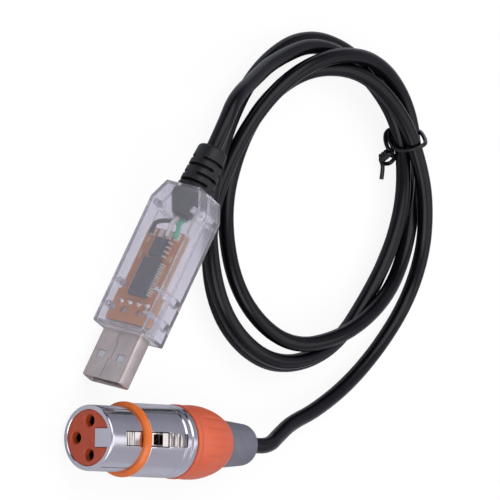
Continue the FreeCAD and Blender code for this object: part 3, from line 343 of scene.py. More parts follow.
@dataclass(frozen=True)
class Laminate:
    """Circuit board: solder mask over raised copper tracks, with the glass weave showing at its cut edges."""

    name: str
    mask: str
    track_colour: str
    cloud: str
    edge: str
    track_mm: float = 0.9
    track_run_mm: float = 6.2
    track_gap_mm: float = 0.12
    track_height_mm: float = 0.03
    track_share: float = 0.6
    cloud_mm: float = 2.2
    weave_mm: float = 0.5
    roughness: tuple[float, float] = (0.3, 0.48)
    ior: float = 1.5
    # A surface counts as a broad face where its normal leans to the board's own by more than this
    face_from: float = 0.4
    face_to: float = 0.6

    def build(self) -> bpy.types.Material:
        """Make the material.

        Returns:
            The material.
        """
        material, tree = fresh_tree(self.name)
        place = local_coords(tree, DONGLE)
        tracks = add_node(tree, "TexBrick", {
            "Vector": place, "Scale": per_metre(1.0), "Brick Width": self.track_run_mm,
            "Row Height": self.track_mm, "Mortar Size": self.track_gap_mm, "Mortar Smooth": 0.3},
            {"offset": 0.37, "squash": 0.6, "squash_frequency": 3}, "Fac")
        clouds = add_node(tree, "TexNoise", {"Vector": place, "Scale": per_metre(self.cloud_mm),
                                             "Detail": 4.0})
        share = add_node(tree, "MapRange", {"Value": clouds, **NOISE_SPAN})
        base = add_node(tree, "Mix", {0: share, MIX_A: linear(self.mask), MIX_B: linear(self.cloud)},
                        AS_COLOUR, MIX_OUT)
        copper = add_node(tree, "Math", {0: tracks, 1: self.track_share}, {"operation": "MULTIPLY"})
        top = add_node(tree, "Mix", {0: copper, MIX_A: base, MIX_B: linear(self.track_colour)},
                       AS_COLOUR, MIX_OUT)
        weave = add_node(tree, "TexNoise", {"Vector": place, "Scale": per_metre(self.weave_mm),
                                            "Detail": 2.0})
        rim = add_node(tree, "Mix", {0: weave, MIX_A: linear(self.edge), MIX_B: linear(self.mask)},
                       AS_COLOUR, MIX_OUT)
        board_up = DONGLE.matrix().to_3x3().col[2].normalized()
        surface = add_node(tree, "NewGeometry", out="Normal")
        facing = add_node(tree, "VectorMath", {0: surface, 1: board_up}, {"operation": "DOT_PRODUCT"},
                          "Value")
        flat = add_node(tree, "Math", {0: facing}, {"operation": "ABSOLUTE"})
        on_face = add_node(tree, "MapRange", {"Value": flat, "From Min": self.face_from,
                                              "From Max": self.face_to})
        colour = add_node(tree, "Mix", {0: on_face, MIX_A: rim, MIX_B: top}, AS_COLOUR, MIX_OUT)
        rough = add_node(tree, "MapRange", {"Value": weave, "To Min": self.roughness[0],
                                            "To Max": self.roughness[1]})
        bump = add_node(tree, "Bump", {"Height": tracks, "Distance": self.track_height_mm * MM})
        shader = add_node(tree, "BsdfPrincipled", {"Base Color": colour, "Roughness": rough,
                                                   "IOR": self.ior, "Normal": bump})
        add_node(tree, "OutputMaterial", {"Surface": shader})
        return material


Finish = Moulded | Metal | ClearMoulding | Laminate

# Extruded soft PVC: near black, a satin sheen that draws one long soft highlight
CABLE_JACKET = Moulded("extruded_pvc_cable_jacket", "#08070B", "#0D0C12", 0.23, 0.03, 9.0, 0.5, 0.004, 0.25)
# Vinyl over soft wire: black, a little glossier than the cable
TIE_COAT = Moulded("vinyl_coated_tie_wire", "#08080A", "#0D0D10", 0.33, 0.05, 3.0, 0.3, 0.006, 0.45)
# Moulded soft PVC: black with a dull mould texture that greys its rings
RELIEF_RUBBER = Moulded("moulded_pvc_strain_relief", "#0C0C0E", "#121215", 0.44, 0.06, 4.0, 0.3, 0.012, 0.4)
# Injection moulded polycarbonate: clear, faintly violet, with bright edges and a slight inner haze
CASE_CLEAR = ClearMoulding("moulded_clear_polycarbonate", "#DFDDE5")
# Tin plated steel strip, folded: warm pale grey with fine drawn lines along the plug
USB_STEEL = Metal("tin_plated_folded_steel", "#D0C5C1", "#BEB3B0", 0.34, 0.07, 5.0, 0.3, 0.004,
                  Track.ALONG, DONGLE)
# Moulded nylon: cool white and matt
INSULATOR = Moulded("moulded_white_nylon", "#BFC2C6", "#B2B5BA", 0.5)
# Gold flash on bronze: deep yellow, softly bright
CONTACT_GOLD = Metal("gold_flashed_bronze_contact", "#D9B571", "#C79F58", 0.24)
# Tinned copper alloy legs, given as a non-metal in pale warm grey: painted reflection of the light they catch from
# all around
LEAD_TIN_PAINTED_REFLECTION = Moulded("tinned_lead_frame_painted_reflection", "#D9D3C6", "#C9C2B4", 0.38, 0.05, 1.0, 0.2, 0.004, 0.8)
# Tin solder, flowed: bright with a rippled skin
SOLDER = Metal("flowed_tin_solder", "#D9D8D6", "#C2C0BC", 0.2, 0.1, 0.8, 0.3, 0.02)
# Hand soldered pads with flux left on them: duller and creamier than bare solder
PAD_SOLDER = Moulded("dulled_solder_with_flux", "#DAD5CB", "#CBC5B9", 0.4, 0.06, 0.9, 0.3, 0.02, 0.7)
# Glass epoxy board under an amber solder mask: orange brown, tracks lighter, cut edges greenish
BOARD = Laminate("amber_masked_glass_epoxy", "#BC7030", "#D4934F", "#A6622B", "#7E7B4C")
# Moulded epoxy package: dark blue grey, fine eroded texture
CHIP_EPOXY = Moulded("moulded_epoxy_package", "#2A2C34", "#33353D", 0.55, 0.06, 2.0, 0.12, 0.01)
# Fired ceramic: tan and smooth
CAPACITOR = Moulded("fired_ceramic_capacitor", "#B08A5B", "#C4A06E", 0.4, 0.05, 0.8)
# PVC insulation: smooth, waxy
WIRE_BLACK = Moulded("extruded_pvc_black_wire", "#17171A", "#202024", 0.4)
WIRE_WHITE = Moulded("extruded_pvc_white_wire", "#E3E1DC", "#D5D3CE", 0.4)
WIRE_GREEN = Moulded("extruded_pvc_green_wire", "#2F9A73", "#3BAA82", 0.4)
# Satin nickel chrome plate on die cast zinc: lilac grey, reflections blurred by a fine blasted skin
CHROME = Metal("satin_chrome_on_die_cast_zinc", "#D2CFD7", "#CBC8D1", 0.19, 0.035, 9.0, 0.3, 0.0022)
# Moulded polyamide: red brown and matt
INSERT_BROWN = Moulded("moulded_red_brown_polyamide", "#BC4C2E", "#B04629", 0.5, 0.06, 3.0, 0.25, 0.01)
# Gold flash inside the sockets: painted shade, a darker yellow than the contacts' gold for the shade of the holes
SOCKET_GOLD_PAINTED_SHADE = Metal("gold_flashed_socket_painted_shade", "#C9A35C", "#B48D48", 0.26)
# Pressed steel, nickel plated: the brightest metal here, nearly white
LATCH_NICKEL = Metal("nickel_plated_pressed_steel", "#D6D0CC", "#C8C2BF", 0.15, 0.05, 3.0, 0.2, 0.002)
# Tempered strip steel: dull grey
SPRING_STEEL = Metal("tempered_spring_steel", "#9A9A9E", "#87878C", 0.3)
# Moulded ABS: clean orange, polished by the mould
RING_ORANGE = Moulded("moulded_orange_abs", "#E9752B", "#E06B24", 0.3, 0.05, 6.0, 0.4, 0.004)
# Moulded acetal: warm white, waxy
CHUCK_WHITE = Moulded("moulded_white_acetal", "#CFCDC6", "#C2C0B8", 0.45)
# Moulded polyurethane: coral, fine satin
BOOT_CORAL = Moulded("moulded_coral_polyurethane", "#D9623F", "#D15A3A", 0.44, 0.05, 7.0, 0.3, 0.01)
# Moulded rubber: grey with a violet cast, soft matt
RELIEF_GREY = Moulded("moulded_grey_rubber", "#706F7B", "#686773", 0.52, 0.05, 5.0, 0.3, 0.014)

NODE_FINISHES: dict[str, Finish] = {
    "usb_shell": USB_STEEL, "usb_insulator": INSULATOR, "usb_contacts": CONTACT_GOLD,
    "case_top": CASE_CLEAR, "case_bottom": CASE_CLEAR, "circuit_board": BOARD,
    "usb_serial_chip": CHIP_EPOXY, "usb_chip_leads": LEAD_TIN_PAINTED_REFLECTION, "line_driver_chip": CHIP_EPOXY,
    "line_driver_leads": LEAD_TIN_PAINTED_REFLECTION, "chip_capacitors": CAPACITOR, "usb_solder_joints": SOLDER,
    "wire_solder_pads": PAD_SOLDER, "wire_black": WIRE_BLACK, "wire_white": WIRE_WHITE,
    "wire_green": WIRE_GREEN, "strain_relief": RELIEF_RUBBER, "cable_dongle_end": CABLE_JACKET,
    "cable_dongle_lead": CABLE_JACKET, "cable_coil": CABLE_JACKET, "cable_xlr_lead": CABLE_JACKET,
    "twist_tie": TIE_COAT, "xlr_housing": CHROME, "xlr_insert": INSERT_BROWN, "xlr_contacts": SOCKET_GOLD_PAINTED_SHADE,
    "xlr_latch": LATCH_NICKEL, "latch_pin": LATCH_NICKEL, "latch_spring": SPRING_STEEL,
    "color_ring": RING_ORANGE, "cable_chuck": CHUCK_WHITE, "boot": BOOT_CORAL, "bend_relief": RELIEF_GREY,
    "cable_xlr_end": CABLE_JACKET, "xlr_wires": WIRE_WHITE}
CLEAR_NODES = ("case_top", "case_bottom")
CARRIED_NODES = ("cable_xlr_end", "xlr_housing", "xlr_insert", "xlr_contacts", "xlr_latch", "latch_pin",
                 "latch_spring", "color_ring", "cable_chuck", "boot", "bend_relief", "xlr_wires", "twist_tie")


class PaintShop:
    """Makes each finish once and gives it to nodes and pieces."""

    def __init__(self) -> None:
        """Start with no material made."""
        self._made: dict[str, bpy.types.Material] = {}

    def material(self, finish: Finish) -> bpy.types.Material:
        """Make a finish's material, or find the one already made.

        Args:
            finish: One of the finishes.

        Returns:
            Its material.
        """
        if finish.name not in self._made:
            self._made[finish.name] = finish.build()
        return self._made[finish.name]

    def dress(self, obj: bpy.types.Object, finish: Finish) -> None:
        """Give an object one finish all over.

        Args:
            obj: The object.
            finish: Its finish.
        """
        material = self.material(finish)
        if obj.material_slots:
            for held in obj.material_slots:
                held.material = material
        else:
            obj.data.materials.append(material)

    def dress_nodes(self, nodes: dict[str, bpy.types.Object]) -> None:
        """Give every CAD node its finish.

        Args:
            nodes: The frame's nodes by name.
        """
        for name, finish in NODE_FINISHES.items():
            self.dress(nodes[name], finish)
        for name in CLEAR_NODES:
            # Light passes the clear case without a dark shadow, as through the real one
            nodes[name].visible_shadow = False
        LOG.info("dressed %d nodes", len(NODE_FINISHES))


# ---------------------------------------------------------------- bench tools, in millimetres

AXIS_TO_X = Matrix(((0, 0, 1, 0), (1, 0, 0, 0), (0, 1, 0, 0), (0, 0, 0, 1)))
# Radius of a turned outline's points that stand for the axis itself
AXIS_RADIUS = 0.001
# How far a cutting piece reaches past what it cuts
PAST = 1.0


def deselect() -> None:
    """Leave edit mode and select nothing."""
    if bpy.context.object and bpy.context.object.mode != "OBJECT":
        bpy.ops.object.mode_set(mode="OBJECT")
    bpy.ops.object.select_all(action="DESELECT")


def pick(piece: bpy.types.Object) -> None:
    """Select one piece alone and make it active.

    Args:
        piece: The piece.
    """
    deselect()
    piece.select_set(True)
    bpy.context.view_layer.objects.active = piece


def choose(piece: bpy.types.Object, test: Callable[[Vector], bool]) -> None:
    """Pick a piece and select those of its points that pass a test, for edit mode.

    Args:
        piece: The piece.
        test: Takes a point's place and says whether it is selected.
    """
    pick(piece)
    for held in (*piece.data.edges, *piece.data.polygons):
        held.select = False
    for vertex in piece.data.vertices:
        vertex.select = test(vertex.co)


def reshape(operation: Callable[..., Any], **settings: Any) -> None:
    """Run one edit mode operation on what is chosen.

    Args:
        operation: The operator.
        settings: Its settings.
    """
    bpy.ops.object.mode_set(mode="EDIT")
    operation(**settings)
    bpy.ops.object.mode_set(mode="OBJECT")


def along(profile: Profile, start: float) -> list[tuple[float, float]]:
    """Outline whose places along the axis are counted from a start."""
    return [(start + x, radius) for x, radius in profile]


def bake_place(piece: bpy.types.Object, place: Matrix) -> None:
    """Move a piece's own place, then another one, into its mesh.

    Args:
        piece: The piece.
        place: Matrix applied after the piece's own.
    """
    bpy.context.view_layer.update()
    piece.data.transform(place @ piece.matrix_world)
    piece.matrix_world = Matrix.Identity(4)


def turned(outline: Profile, segments: int = 96) -> bpy.types.Object:
    """Turn a closed outline about the X axis.

    Args:
        outline: Points of x and radius, the first not repeated.
        segments: Steps round the axis.

    Returns:
        The closed solid of revolution.
    """
    deselect()
    bpy.ops.mesh.primitive_circle_add(vertices=segments, radius=outline[0][1], location=(0, 0, outline[0][0]))
    piece = bpy.context.object
    bpy.ops.object.mode_set(mode="EDIT")
    bpy.ops.mesh.select_all(action="SELECT")
    for (x, radius), (next_x, next_radius) in zip(outline, list(outline[1:]) + [outline[0]]):
        bpy.ops.mesh.extrude_region_move(TRANSFORM_OT_translate={"value": (0, 0, next_x - x)})
        share = next_radius / radius
        bpy.ops.transform.resize(value=(share, share, 1))
    bpy.ops.mesh.select_all(action="SELECT")
    bpy.ops.mesh.remove_doubles(threshold=0.002)
    bpy.ops.mesh.normals_make_consistent(inside=False)
    bpy.ops.object.mode_set(mode="OBJECT")
    bake_place(piece, AXIS_TO_X)
    return piece


def block(x: tuple[float, float], y: tuple[float, float], z: tuple[float, float], round_mm: float = 0.0,
          steps: int = 3) -> bpy.types.Object:
    """Block between limits, with rounded edges.

    Args:
        x: Limits along X.
        y: Limits along Y.
        z: Limits along Z.
        round_mm: Radius of all its edges.
        steps: Segments of the rounding.

    Returns:
        The block.
    """
    deselect()
    middle = [(low + high) / 2 for low, high in (x, y, z)]
    bpy.ops.mesh.primitive_cube_add(size=1, location=middle, scale=[high - low for low, high in (x, y, z)])
    piece = bpy.context.object
    bake_place(piece, Matrix.Identity(4))
    if round_mm:
        bpy.ops.object.mode_set(mode="EDIT")
        bpy.ops.mesh.select_all(action="SELECT")
        bpy.ops.mesh.bevel(offset=round_mm, segments=steps, affect="EDGES")
        bpy.ops.object.mode_set(mode="OBJECT")
    return piece


def long_bar(x: tuple[float, float], width: float, height: float, corner: float) -> bpy.types.Object:
    """Bar along X with its four long edges rounded.

    Args:
        x: Limits along X.
        width: Size along Y.
        height: Size along Z.
        corner: Radius of the long edges.

    Returns:
        The bar.
    """
    bar = block(x, (-width / 2, width / 2), (-height / 2, height / 2))
    choose(bar, lambda co: False)
    for edge in bar.data.edges:
        ends = [bar.data.vertices[i].co for i in edge.vertices]
        edge.select = abs(ends[0].x - ends[1].x) > (x[1] - x[0]) / 2
    bpy.ops.object.mode_set(mode="EDIT")
    bpy.context.tool_settings.mesh_select_mode = (False, True, False)
    bpy.ops.mesh.bevel(offset=corner, segments=6, affect="EDGES")
    bpy.context.tool_settings.mesh_select_mode = (True, False, False)
    bpy.ops.object.mode_set(mode="OBJECT")
    return bar


def carve(piece: bpy.types.Object, *tools: bpy.types.Object,
          operation: str = "DIFFERENCE") -> bpy.types.Object:
    """Cut tools out of a piece, or join them to it, and use them up.

    Args:
        piece: The piece that is kept.
        tools: Pieces that are used up.
        operation: DIFFERENCE, UNION or INTERSECT.

    Returns:
        The piece.
    """
    for tool in tools:
        pick(piece)
        cut = piece.modifiers.new("carve", "BOOLEAN")
        cut.operation, cut.solver, cut.object = operation, "EXACT", tool
        bpy.ops.object.modifier_apply(modifier=cut.name)
        bpy.data.objects.remove(tool)
    return piece


def soften(piece: bpy.types.Object, width: float, angle_deg: float = 40.0,
           segments: int = 2) -> bpy.types.Object:
    """Round a piece's sharp edges.

    Args:
        piece: The piece.
        width: Width of the rounding.
        angle_deg: Edges sharper than this are rounded.
        segments: Steps of the rounding.

    Returns:
        The piece.
    """
    pick(piece)
    bevel = piece.modifiers.new("soften", "BEVEL")
    bevel.width, bevel.segments, bevel.limit_method = width, segments, "ANGLE"
    bevel.angle_limit = math.radians(angle_deg)
    bpy.ops.object.modifier_apply(modifier=bevel.name)
    return piece


def spun_about_x(piece: bpy.types.Object, angle_deg: float) -> bpy.types.Object:
    """Turn a piece about the X axis and return it."""
    piece.data.transform(Matrix.Rotation(math.radians(angle_deg), 4, "X"))
    return piece


def wire_curve(name: str, points: Sequence[Any], radius: float, round_steps: int,
               fine: int) -> bpy.types.Object:
    """Round wire as a smooth curve.

    Args:
        name: Name of the curve.
        points: Control points.
        radius: The wire's radius.
        round_steps: Resolution of the section.
        fine: Steps between two control points.

    Returns:
        The curve object.
    """
    data = bpy.data.curves.new(name, "CURVE")
    data.dimensions = "3D"
    spline = data.splines.new("NURBS")
    spline.points.add(len(points) - 1)
    for held, place in zip(spline.points, points):
        held.co = (*place, 1.0)
    spline.order_u = 3
    spline.use_endpoint_u = True
    data.resolution_u, data.bevel_resolution = fine, round_steps
    data.bevel_depth = radius
    data.use_fill_caps = True
    wire = bpy.data.objects.new(name, data)
    bpy.context.scene.collection.objects.link(wire)
    return wire


def smooth_line(name: str, points: Sequence[Any], diameter: float) -> bpy.types.Object:
    """Round wire along a smooth curve, made a mesh.

    Args:
        name: Name of the piece.
        points: Control points.
        diameter: The wire's diameter.

    Returns:
        The wire.
    """
    pick(wire_curve(name, points, diameter / 2, 5, 8))
    bpy.ops.object.convert(target="MESH")
    return bpy.context.object


@dataclass
class Fitter:
    """Puts finished pieces in their place, dresses them and fastens them to their body."""

    shop: PaintShop
    spot: Spot

    def fit(self, piece: bpy.types.Object, name: str, finish: Finish, slot: str, body: Body = Body.BASE,
            instead_of: Sequence[str] = (), smooth_deg: float = 35.0,
            even_faces: bool = False) -> bpy.types.Object:
        """Finish a piece.

        Args:
            piece: Piece modelled in the sub-assembly's millimetres.
            name: Its name.
            finish: Its finish.
            slot: Not used.
            body: The body that it rides on.
            instead_of: CAD nodes that it stands for.
            smooth_deg: Edges flatter than this are shaded smooth.
            even_faces: Whether large faces decide the shading, as on a turned and slotted wall.

        Returns:
            The piece.
        """
        bake_place(piece, self.spot.matrix())
        piece.name = name
        piece.data.name = name
        pick(piece)
        bpy.ops.object.shade_smooth_by_angle(angle=math.radians(smooth_deg))
        if even_faces:
            even = piece.modifiers.new("even", "WEIGHTED_NORMAL")
            even.keep_sharp = True
            bpy.ops.object.modifier_apply(modifier=even.name)
        piece.data.materials.clear()
        self.shop.dress(piece, finish)
        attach(piece, body.value)
        if instead_of:
            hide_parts(*instead_of)
        LOG.info("made %s, %d faces", name, len(piece.data.polygons))
        return piece


# ---------------------------------------------------------------- camera and studio


@dataclass
class CameraRig:
    """Long lens camera at the picture's angle."""

    target_mm: Point = (-25.285, 39.369, 0.0)
    away_from_target: Point = (0.3614, -0.6573, 0.6614)
    right: Point = (0.8763, 0.4818, 0.0)
    up: Point = (-0.3187, 0.5796, 0.7500)
    distance_mm: float = 1603.0
    roll_deg: float = -1.82
    lens_mm: float = 461.7
    sensor_mm: float = 36.0

    def build(self) -> bpy.types.Object:
        """Make the camera and set it as the scene's.

        Returns:
            The camera object.
        """
        out = Vector(self.away_from_target).normalized()
        side, rise = Vector(self.right), Vector(self.up)
        roll = math.radians(self.roll_deg)
        picture_right = rise * math.cos(roll) - side * math.sin(roll)
        picture_up = -(rise * math.sin(roll) + side * math.cos(roll))
        data = bpy.data.cameras.new("picture_camera")
        data.lens = self.lens_mm
        data.sensor_width = self.sensor_mm
        data.clip_start = 0.05
        data.clip_end = 30.0
        camera = bpy.data.objects.new("picture_camera", data)
        bpy.context.scene.collection.objects.link(camera)
        turn = Matrix((picture_right, picture_up, out)).transposed().to_4x4()
        place = Vector(self.target_mm) * MM + out * self.distance_mm * MM
        camera.matrix_world = Matrix.Translation(place) @ turn
        bpy.context.scene.camera = camera
        LOG.info("camera set")
        return camera


@dataclass
class Studio:
    """White paper floor, soft boxes and a sky, with a graded grey room that only mirrors see."""

    floor_size_m: float = 12.0
    floor_drop_mm: float = 0.05
    floor_colour: str = "#C4C5CB"
    floor_glow: float = 0.9
    sky_top: str = "#E8ECF4"
    sky_low: str = "#8A909C"
    sky_strength: float = 0.62
    sky_heights: tuple[float, float] = (0.02, 0.75)
    # The room that mirrors see: a direction, and grey tones by how far a ray leans along it
    room_axis: Point = (-0.876, -0.482, 0.0)
    room_tones: tuple[tuple[float, str], ...] = (
        (-0.95, "#C8C8D0"), (-0.45, "#B9B9C3"), (0.0, "#B0B0BA"), (0.5, "#A0A1AD"), (0.74, "#777987"),
        (0.92, "#2E313D"))
    room_strength: float = 1.0
    aim: Point = (-0.02, 0.04, 0.0)
    boxes: tuple[tuple[str, Point, float, float, float], ...] = (
        # name, place in metres, power in watts, width, height
        ("key_box", (-0.85, -0.60, 1.35), 16.0, 2.0, 1.4),
        ("fill_box", (1.20, -0.50, 0.85), 8.0, 1.0, 1.2),
        ("top_box", (0.15, 0.85, 1.60), 8.0, 2.0, 1.3))

    def build(self) -> None:
        """Make floor, sky and lamps."""
        self._sky()
        self._floor()
        for name, place, power, width, height in self.boxes:
            self._soft_box(name, place, power, width, height)
        LOG.info("studio set")

    def _room_tone(self, tree: bpy.types.NodeTree, way: Any) -> Any:
        """Grey tones of the room that mirrors see.

        Args:
            tree: The world's node tree.
            way: Direction of the ray.

        Returns:
            The colour output.
        """
        lean = add_node(tree, "VectorMath", {0: way, 1: self.room_axis}, {"operation": "DOT_PRODUCT"},
                        "Value")
        (start, tone), *others = self.room_tones
        colour: Any = linear(tone)
        for stop, tone in others:
            share = add_node(tree, "MapRange", {"Value": lean, "From Min": start, "From Max": stop})
            colour = add_node(tree, "Mix", {0: share, MIX_A: colour, MIX_B: linear(tone)},
                              AS_COLOUR, MIX_OUT)
            start = stop
        return colour

    def _sky(self) -> None:
        """World: white to the camera and through clear plastic, a room to mirrors, soft light to the rest."""
        world = bpy.data.worlds.new("studio_sky")
        world.use_nodes = True
        tree = world.node_tree
        tree.nodes.clear()
        way = add_node(tree, "TexCoord", out="Generated")
        height = add_node(tree, "SeparateXYZ", {"Vector": way}, out="Z")
        share = add_node(tree, "MapRange", {"Value": height, "From Min": self.sky_heights[0],
                                            "From Max": self.sky_heights[1]})
        colour = add_node(tree, "Mix", {0: share, MIX_A: linear(self.sky_low), MIX_B: linear(self.sky_top)},
                          AS_COLOUR, MIX_OUT)
        light = add_node(tree, "Background", {"Color": colour, "Strength": self.sky_strength})
        room = add_node(tree, "Background", {"Color": self._room_tone(tree, way),
                                             "Strength": self.room_strength})
        white = add_node(tree, "Background", {"Color": WHITE, "Strength": 1.0})
        ray = add_node(tree, "LightPath").node.outputs
        # A white room would wash the chrome out, and the real plug mirrors greys, so glossy rays see those
        lit = add_node(tree, "MixShader", {0: ray["Is Glossy Ray"], 1: light, 2: room})
        seen = add_node(tree, "Math", {0: ray["Is Camera Ray"], 1: ray["Is Transmission Ray"]},
                        {"operation": "MAXIMUM"})
        add_node(tree, "OutputWorld", {"Surface": add_node(tree, "MixShader", {0: seen, 1: lit, 2: white})})
        bpy.context.scene.world = world

    def _floor(self) -> None:
        """Floor that is white to the camera and through clear plastic, and still takes the object's shadow."""
        deselect()
        bpy.ops.mesh.primitive_plane_add(size=self.floor_size_m,
                                         location=(0, 0, -self.floor_drop_mm * MM))
        floor = bpy.context.object
        floor.name = "studio_floor"
        bpy.ops.object.transform_apply(location=True, rotation=True, scale=True)
        material, tree = fresh_tree("matt_paper_floor")
        ray = add_node(tree, "LightPath").node.outputs
        seen = add_node(tree, "Math", {0: ray["Is Camera Ray"], 1: ray["Is Transmission Ray"]},
                        {"operation": "MAXIMUM"})
        # Pale grey in the light it throws back and in the chrome, white where it is looked at
        tone = add_node(tree, "Mix", {0: seen, MIX_A: linear(self.floor_colour), MIX_B: WHITE},
                        AS_COLOUR, MIX_OUT)
        paper = add_node(tree, "BsdfDiffuse", {"Color": tone})
        glow = add_node(tree, "Emission", {"Color": WHITE, "Strength": 1.0})
        share = add_node(tree, "Math", {0: seen, 1: self.floor_glow}, {"operation": "MULTIPLY"})
        mixed = add_node(tree, "MixShader", {0: share, 1: paper, 2: glow})
        add_node(tree, "OutputMaterial", {"Surface": mixed})
        floor.data.materials.append(material)

    def _soft_box(self, name: str, place: Point, power: float, width: float, height: float) -> None:
        """Add an area lamp that faces the object.

        Args:
            name: Its name.
            place: Its place in metres.
            power: Its power in watts.
            width: Its width in metres.
            height: Its height in metres.
        """
        data = bpy.data.lights.new(name, "AREA")
        data.shape = "RECTANGLE"
        data.size = width
        data.size_y = height
        data.energy = power
        lamp = bpy.data.objects.new(name, data)
        bpy.context.scene.collection.objects.link(lamp)
        aim = Vector(self.aim) - Vector(place)
        lamp.matrix_world = Matrix.Translation(place) @ aim.to_track_quat("-Z", "Y").to_matrix().to_4x4()


# ---------------------------------------------------------------- cable


@dataclass
class CableRun:
    """The cable from the dongle's strain relief through the tied coil to the plug."""

    diameter_mm: float = 3.9
    length_mm: float = 933.0
    # Control points in millimetres, from the strain relief through the coil's turns to the plug
    route_mm: tuple[Point, ...] = (
        (-32.09, 0.02, 16.5), (-39.0, 0.02, 17.61), (-47.4, 1.8, 16.25), (-56.41, 9.06, 12.79),
        (-67.11, 17.88, 8.46), (-81.86, 33.81, 5.19), (-84.34, 54.48, 4.42), (-77.78, 70.86, 5.79),
        (-64.07, 79.75, 5.82), (-48.63, 82.02, 5.51), (-33.25, 79.93, 4.77), (-14.01, 73.03, 5.53),
        (0.74, 53.76, 6.12), (-1.85, 30.86, 6.11), (-20.58, 15.32, 6.15), (-44.41, 13.31, 4.54),
        (-66.04, 18.46, 2.81), (-83.42, 32.0, 2.0), (-88.15, 53.1, 1.96), (-80.43, 72.57, 3.18),
        (-66.2, 83.51, 4.13), (-49.5, 84.73, 2.51), (-31.84, 82.71, 1.98), (-12.1, 74.02, 1.98),
        (0.41, 54.31, 1.98), (-3.7, 31.67, 1.99), (-22.91, 18.21, 3.39), (-45.51, 17.87, 5.63),
        (-64.62, 23.59, 8.13), (-79.39, 36.15, 9.51), (-87.7, 54.58, 7.78), (-83.95, 75.12, 4.26),
        (-68.28, 87.1, 1.96), (-49.9, 88.83, 4.24), (-33.06, 82.5, 8.54), (-16.52, 71.01, 9.56),
        (-5.24, 54.65, 7.59), (-9.67, 35.32, 4.86), (-26.74, 23.24, 2.82), (-46.19, 21.69, 2.22),
        (-62.8, 26.14, 2.64), (-75.7, 36.05, 4.8), (-82.08, 51.0, 7.88), (-77.72, 67.59, 10.03),
        (-68.23, 80.67, 9.43), (-61.13, 88.29, 7.38), (-52.58, 94.56, 4.58), (-40.57, 96.83, 2.22),
        (-25.54, 92.44, 2.17), (-10.53, 84.45, 3.19), (1.92, 74.84, 4.24), (9.48, 66.67, 5.44),
        (15.24, 61.99, 7.19), (20.39, 57.75, 9.2), (21.84, 54.56, 9.2))

    def build(self, shop: PaintShop, on_cable: Sequence[Any]) -> bpy.types.Object:
        """Args:
            shop: Gives the jacket's finish.
            on_cable: Pieces and nodes on the cable; not used.

        Returns:
            The cable.
        """
        route = [tuple(c * MM for c in place) for place in self.route_mm]
        cable = wire_curve("cable", route, self.diameter_mm / 2 * MM, 6, 12)
        shop.dress(cable, CABLE_JACKET)
        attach(cable, Body.BASE.value)
        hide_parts("cable_dongle_lead", "cable_coil", "cable_xlr_lead")
        LOG.info("cable made")
        return cable


@dataclass
class TwistTie:
    """Coated wire passed round the four strands of the coil and twisted, with a curled end and a cut tail."""

    coil_centre_mm: tuple[float, float] = (-48.1, 54.9)
    angle_deg: float = 143.8
    wire_mm: float = 1.08
    # The loop round the strands: radius from the coil's centre, height and shift along the strands
    loop_mm: tuple[Point, ...] = (
        (28.3, 3.9, 0.1), (28.8, 3.2, 1.1), (30.1, 2.2, 2.2), (32.3, 1.1, 3.1), (34.9, 0.72, 2.9),
        (38.2, 0.72, 1.2), (41.0, 1.3, -0.4), (41.6, 3.9, -1.05), (39.2, 6.7, -1.0), (35.8, 10.1, -1.0),
        (32.6, 12.7, -0.8), (30.0, 12.2, -0.6), (28.4, 10.0, -0.5), (28.2, 7.8, -0.4), (28.3, 6.1, 0.1),
        (29.0, 4.7, 0.9), (30.1, 3.5, 1.9), (31.1, 3.0, 2.8), (32.5, 2.25, 3.1), (32.7, 2.15, 1.5),
        (31.9, 2.3, -0.3), (31.0, 2.4, -1.8), (29.9, 2.8, -2.7))
    twist_mm: tuple[Point, ...] = ((-70.14, 71.3, 4.6), (-69.7, 72.15, 2.9), (-69.01, 72.44, 1.6))
    twist_turns: float = 1.6
    twist_radius_mm: float = 0.72
    twist_points: int = 12
    curl_mm: tuple[Point, ...] = (
        (-68.56, 72.79, 1.05), (-68.39, 74.32, 1), (-69.14, 75.72, 1.6), (-70.1, 75.73, 2.6),
        (-70.74, 74.75, 3.6), (-69.91, 71.85, 5))
    tail_mm: tuple[Point, ...] = (
        (-68.66, 73.27, 0.95), (-67.41, 73.46, 1.8), (-66.23, 74.68, 1.2), (-64.59, 75.55, 0.8))

    def _loop(self) -> list[Vector]:
        """Find the control points of the loop.

        Returns:
            Points in the row's millimetres.
        """
        way = math.radians(self.angle_deg)
        outwards = Vector((math.cos(way), math.sin(way), 0.0))
        along = Vector((-math.sin(way), math.cos(way), 0.0))
        centre = Vector((*self.coil_centre_mm, 0.0))
        return [centre + outwards * radius + along * shift + Vector((0, 0, height))
                for radius, height, shift in self.loop_mm]

    def _twist(self, phase: float) -> list[Vector]:
        """One of the two wires of the twist, from the strands downwards.

        Args:
            phase: Where it starts round the twist, in turns.

        Returns:
            Control points in the row's millimetres.
        """
        start, middle, end = (Vector(p) for p in self.twist_mm)
        way = (end - start).normalized()
        first = way.orthogonal().normalized()
        second = way.cross(first)
        points = []
        for step in range(self.twist_points):
            t = step / (self.twist_points - 1)
            centre = start * (1 - t) ** 2 + middle * 2 * t * (1 - t) + end * t * t
            turn = 2 * math.pi * (self.twist_turns * t + phase)
            points.append(centre + (first * math.cos(turn) + second * math.sin(turn)) * self.twist_radius_mm)
        return points

    def build(self, shop: PaintShop) -> bpy.types.Object:
        """Make the tie.

        Args:
            shop: Gives its finish.

        Returns:
            The tie.
        """
        route = ([Vector(p) for p in reversed(self.tail_mm)] + list(reversed(self._twist(0.0))) + self._loop()
                 + self._twist(0.5) + [Vector(p) for p in self.curl_mm])
        wire = smooth_line("tie", route, self.wire_mm)
        return Fitter(shop, ROW).fit(wire, "tie", TIE_COAT, "tie_black", instead_of=["twist_tie"])


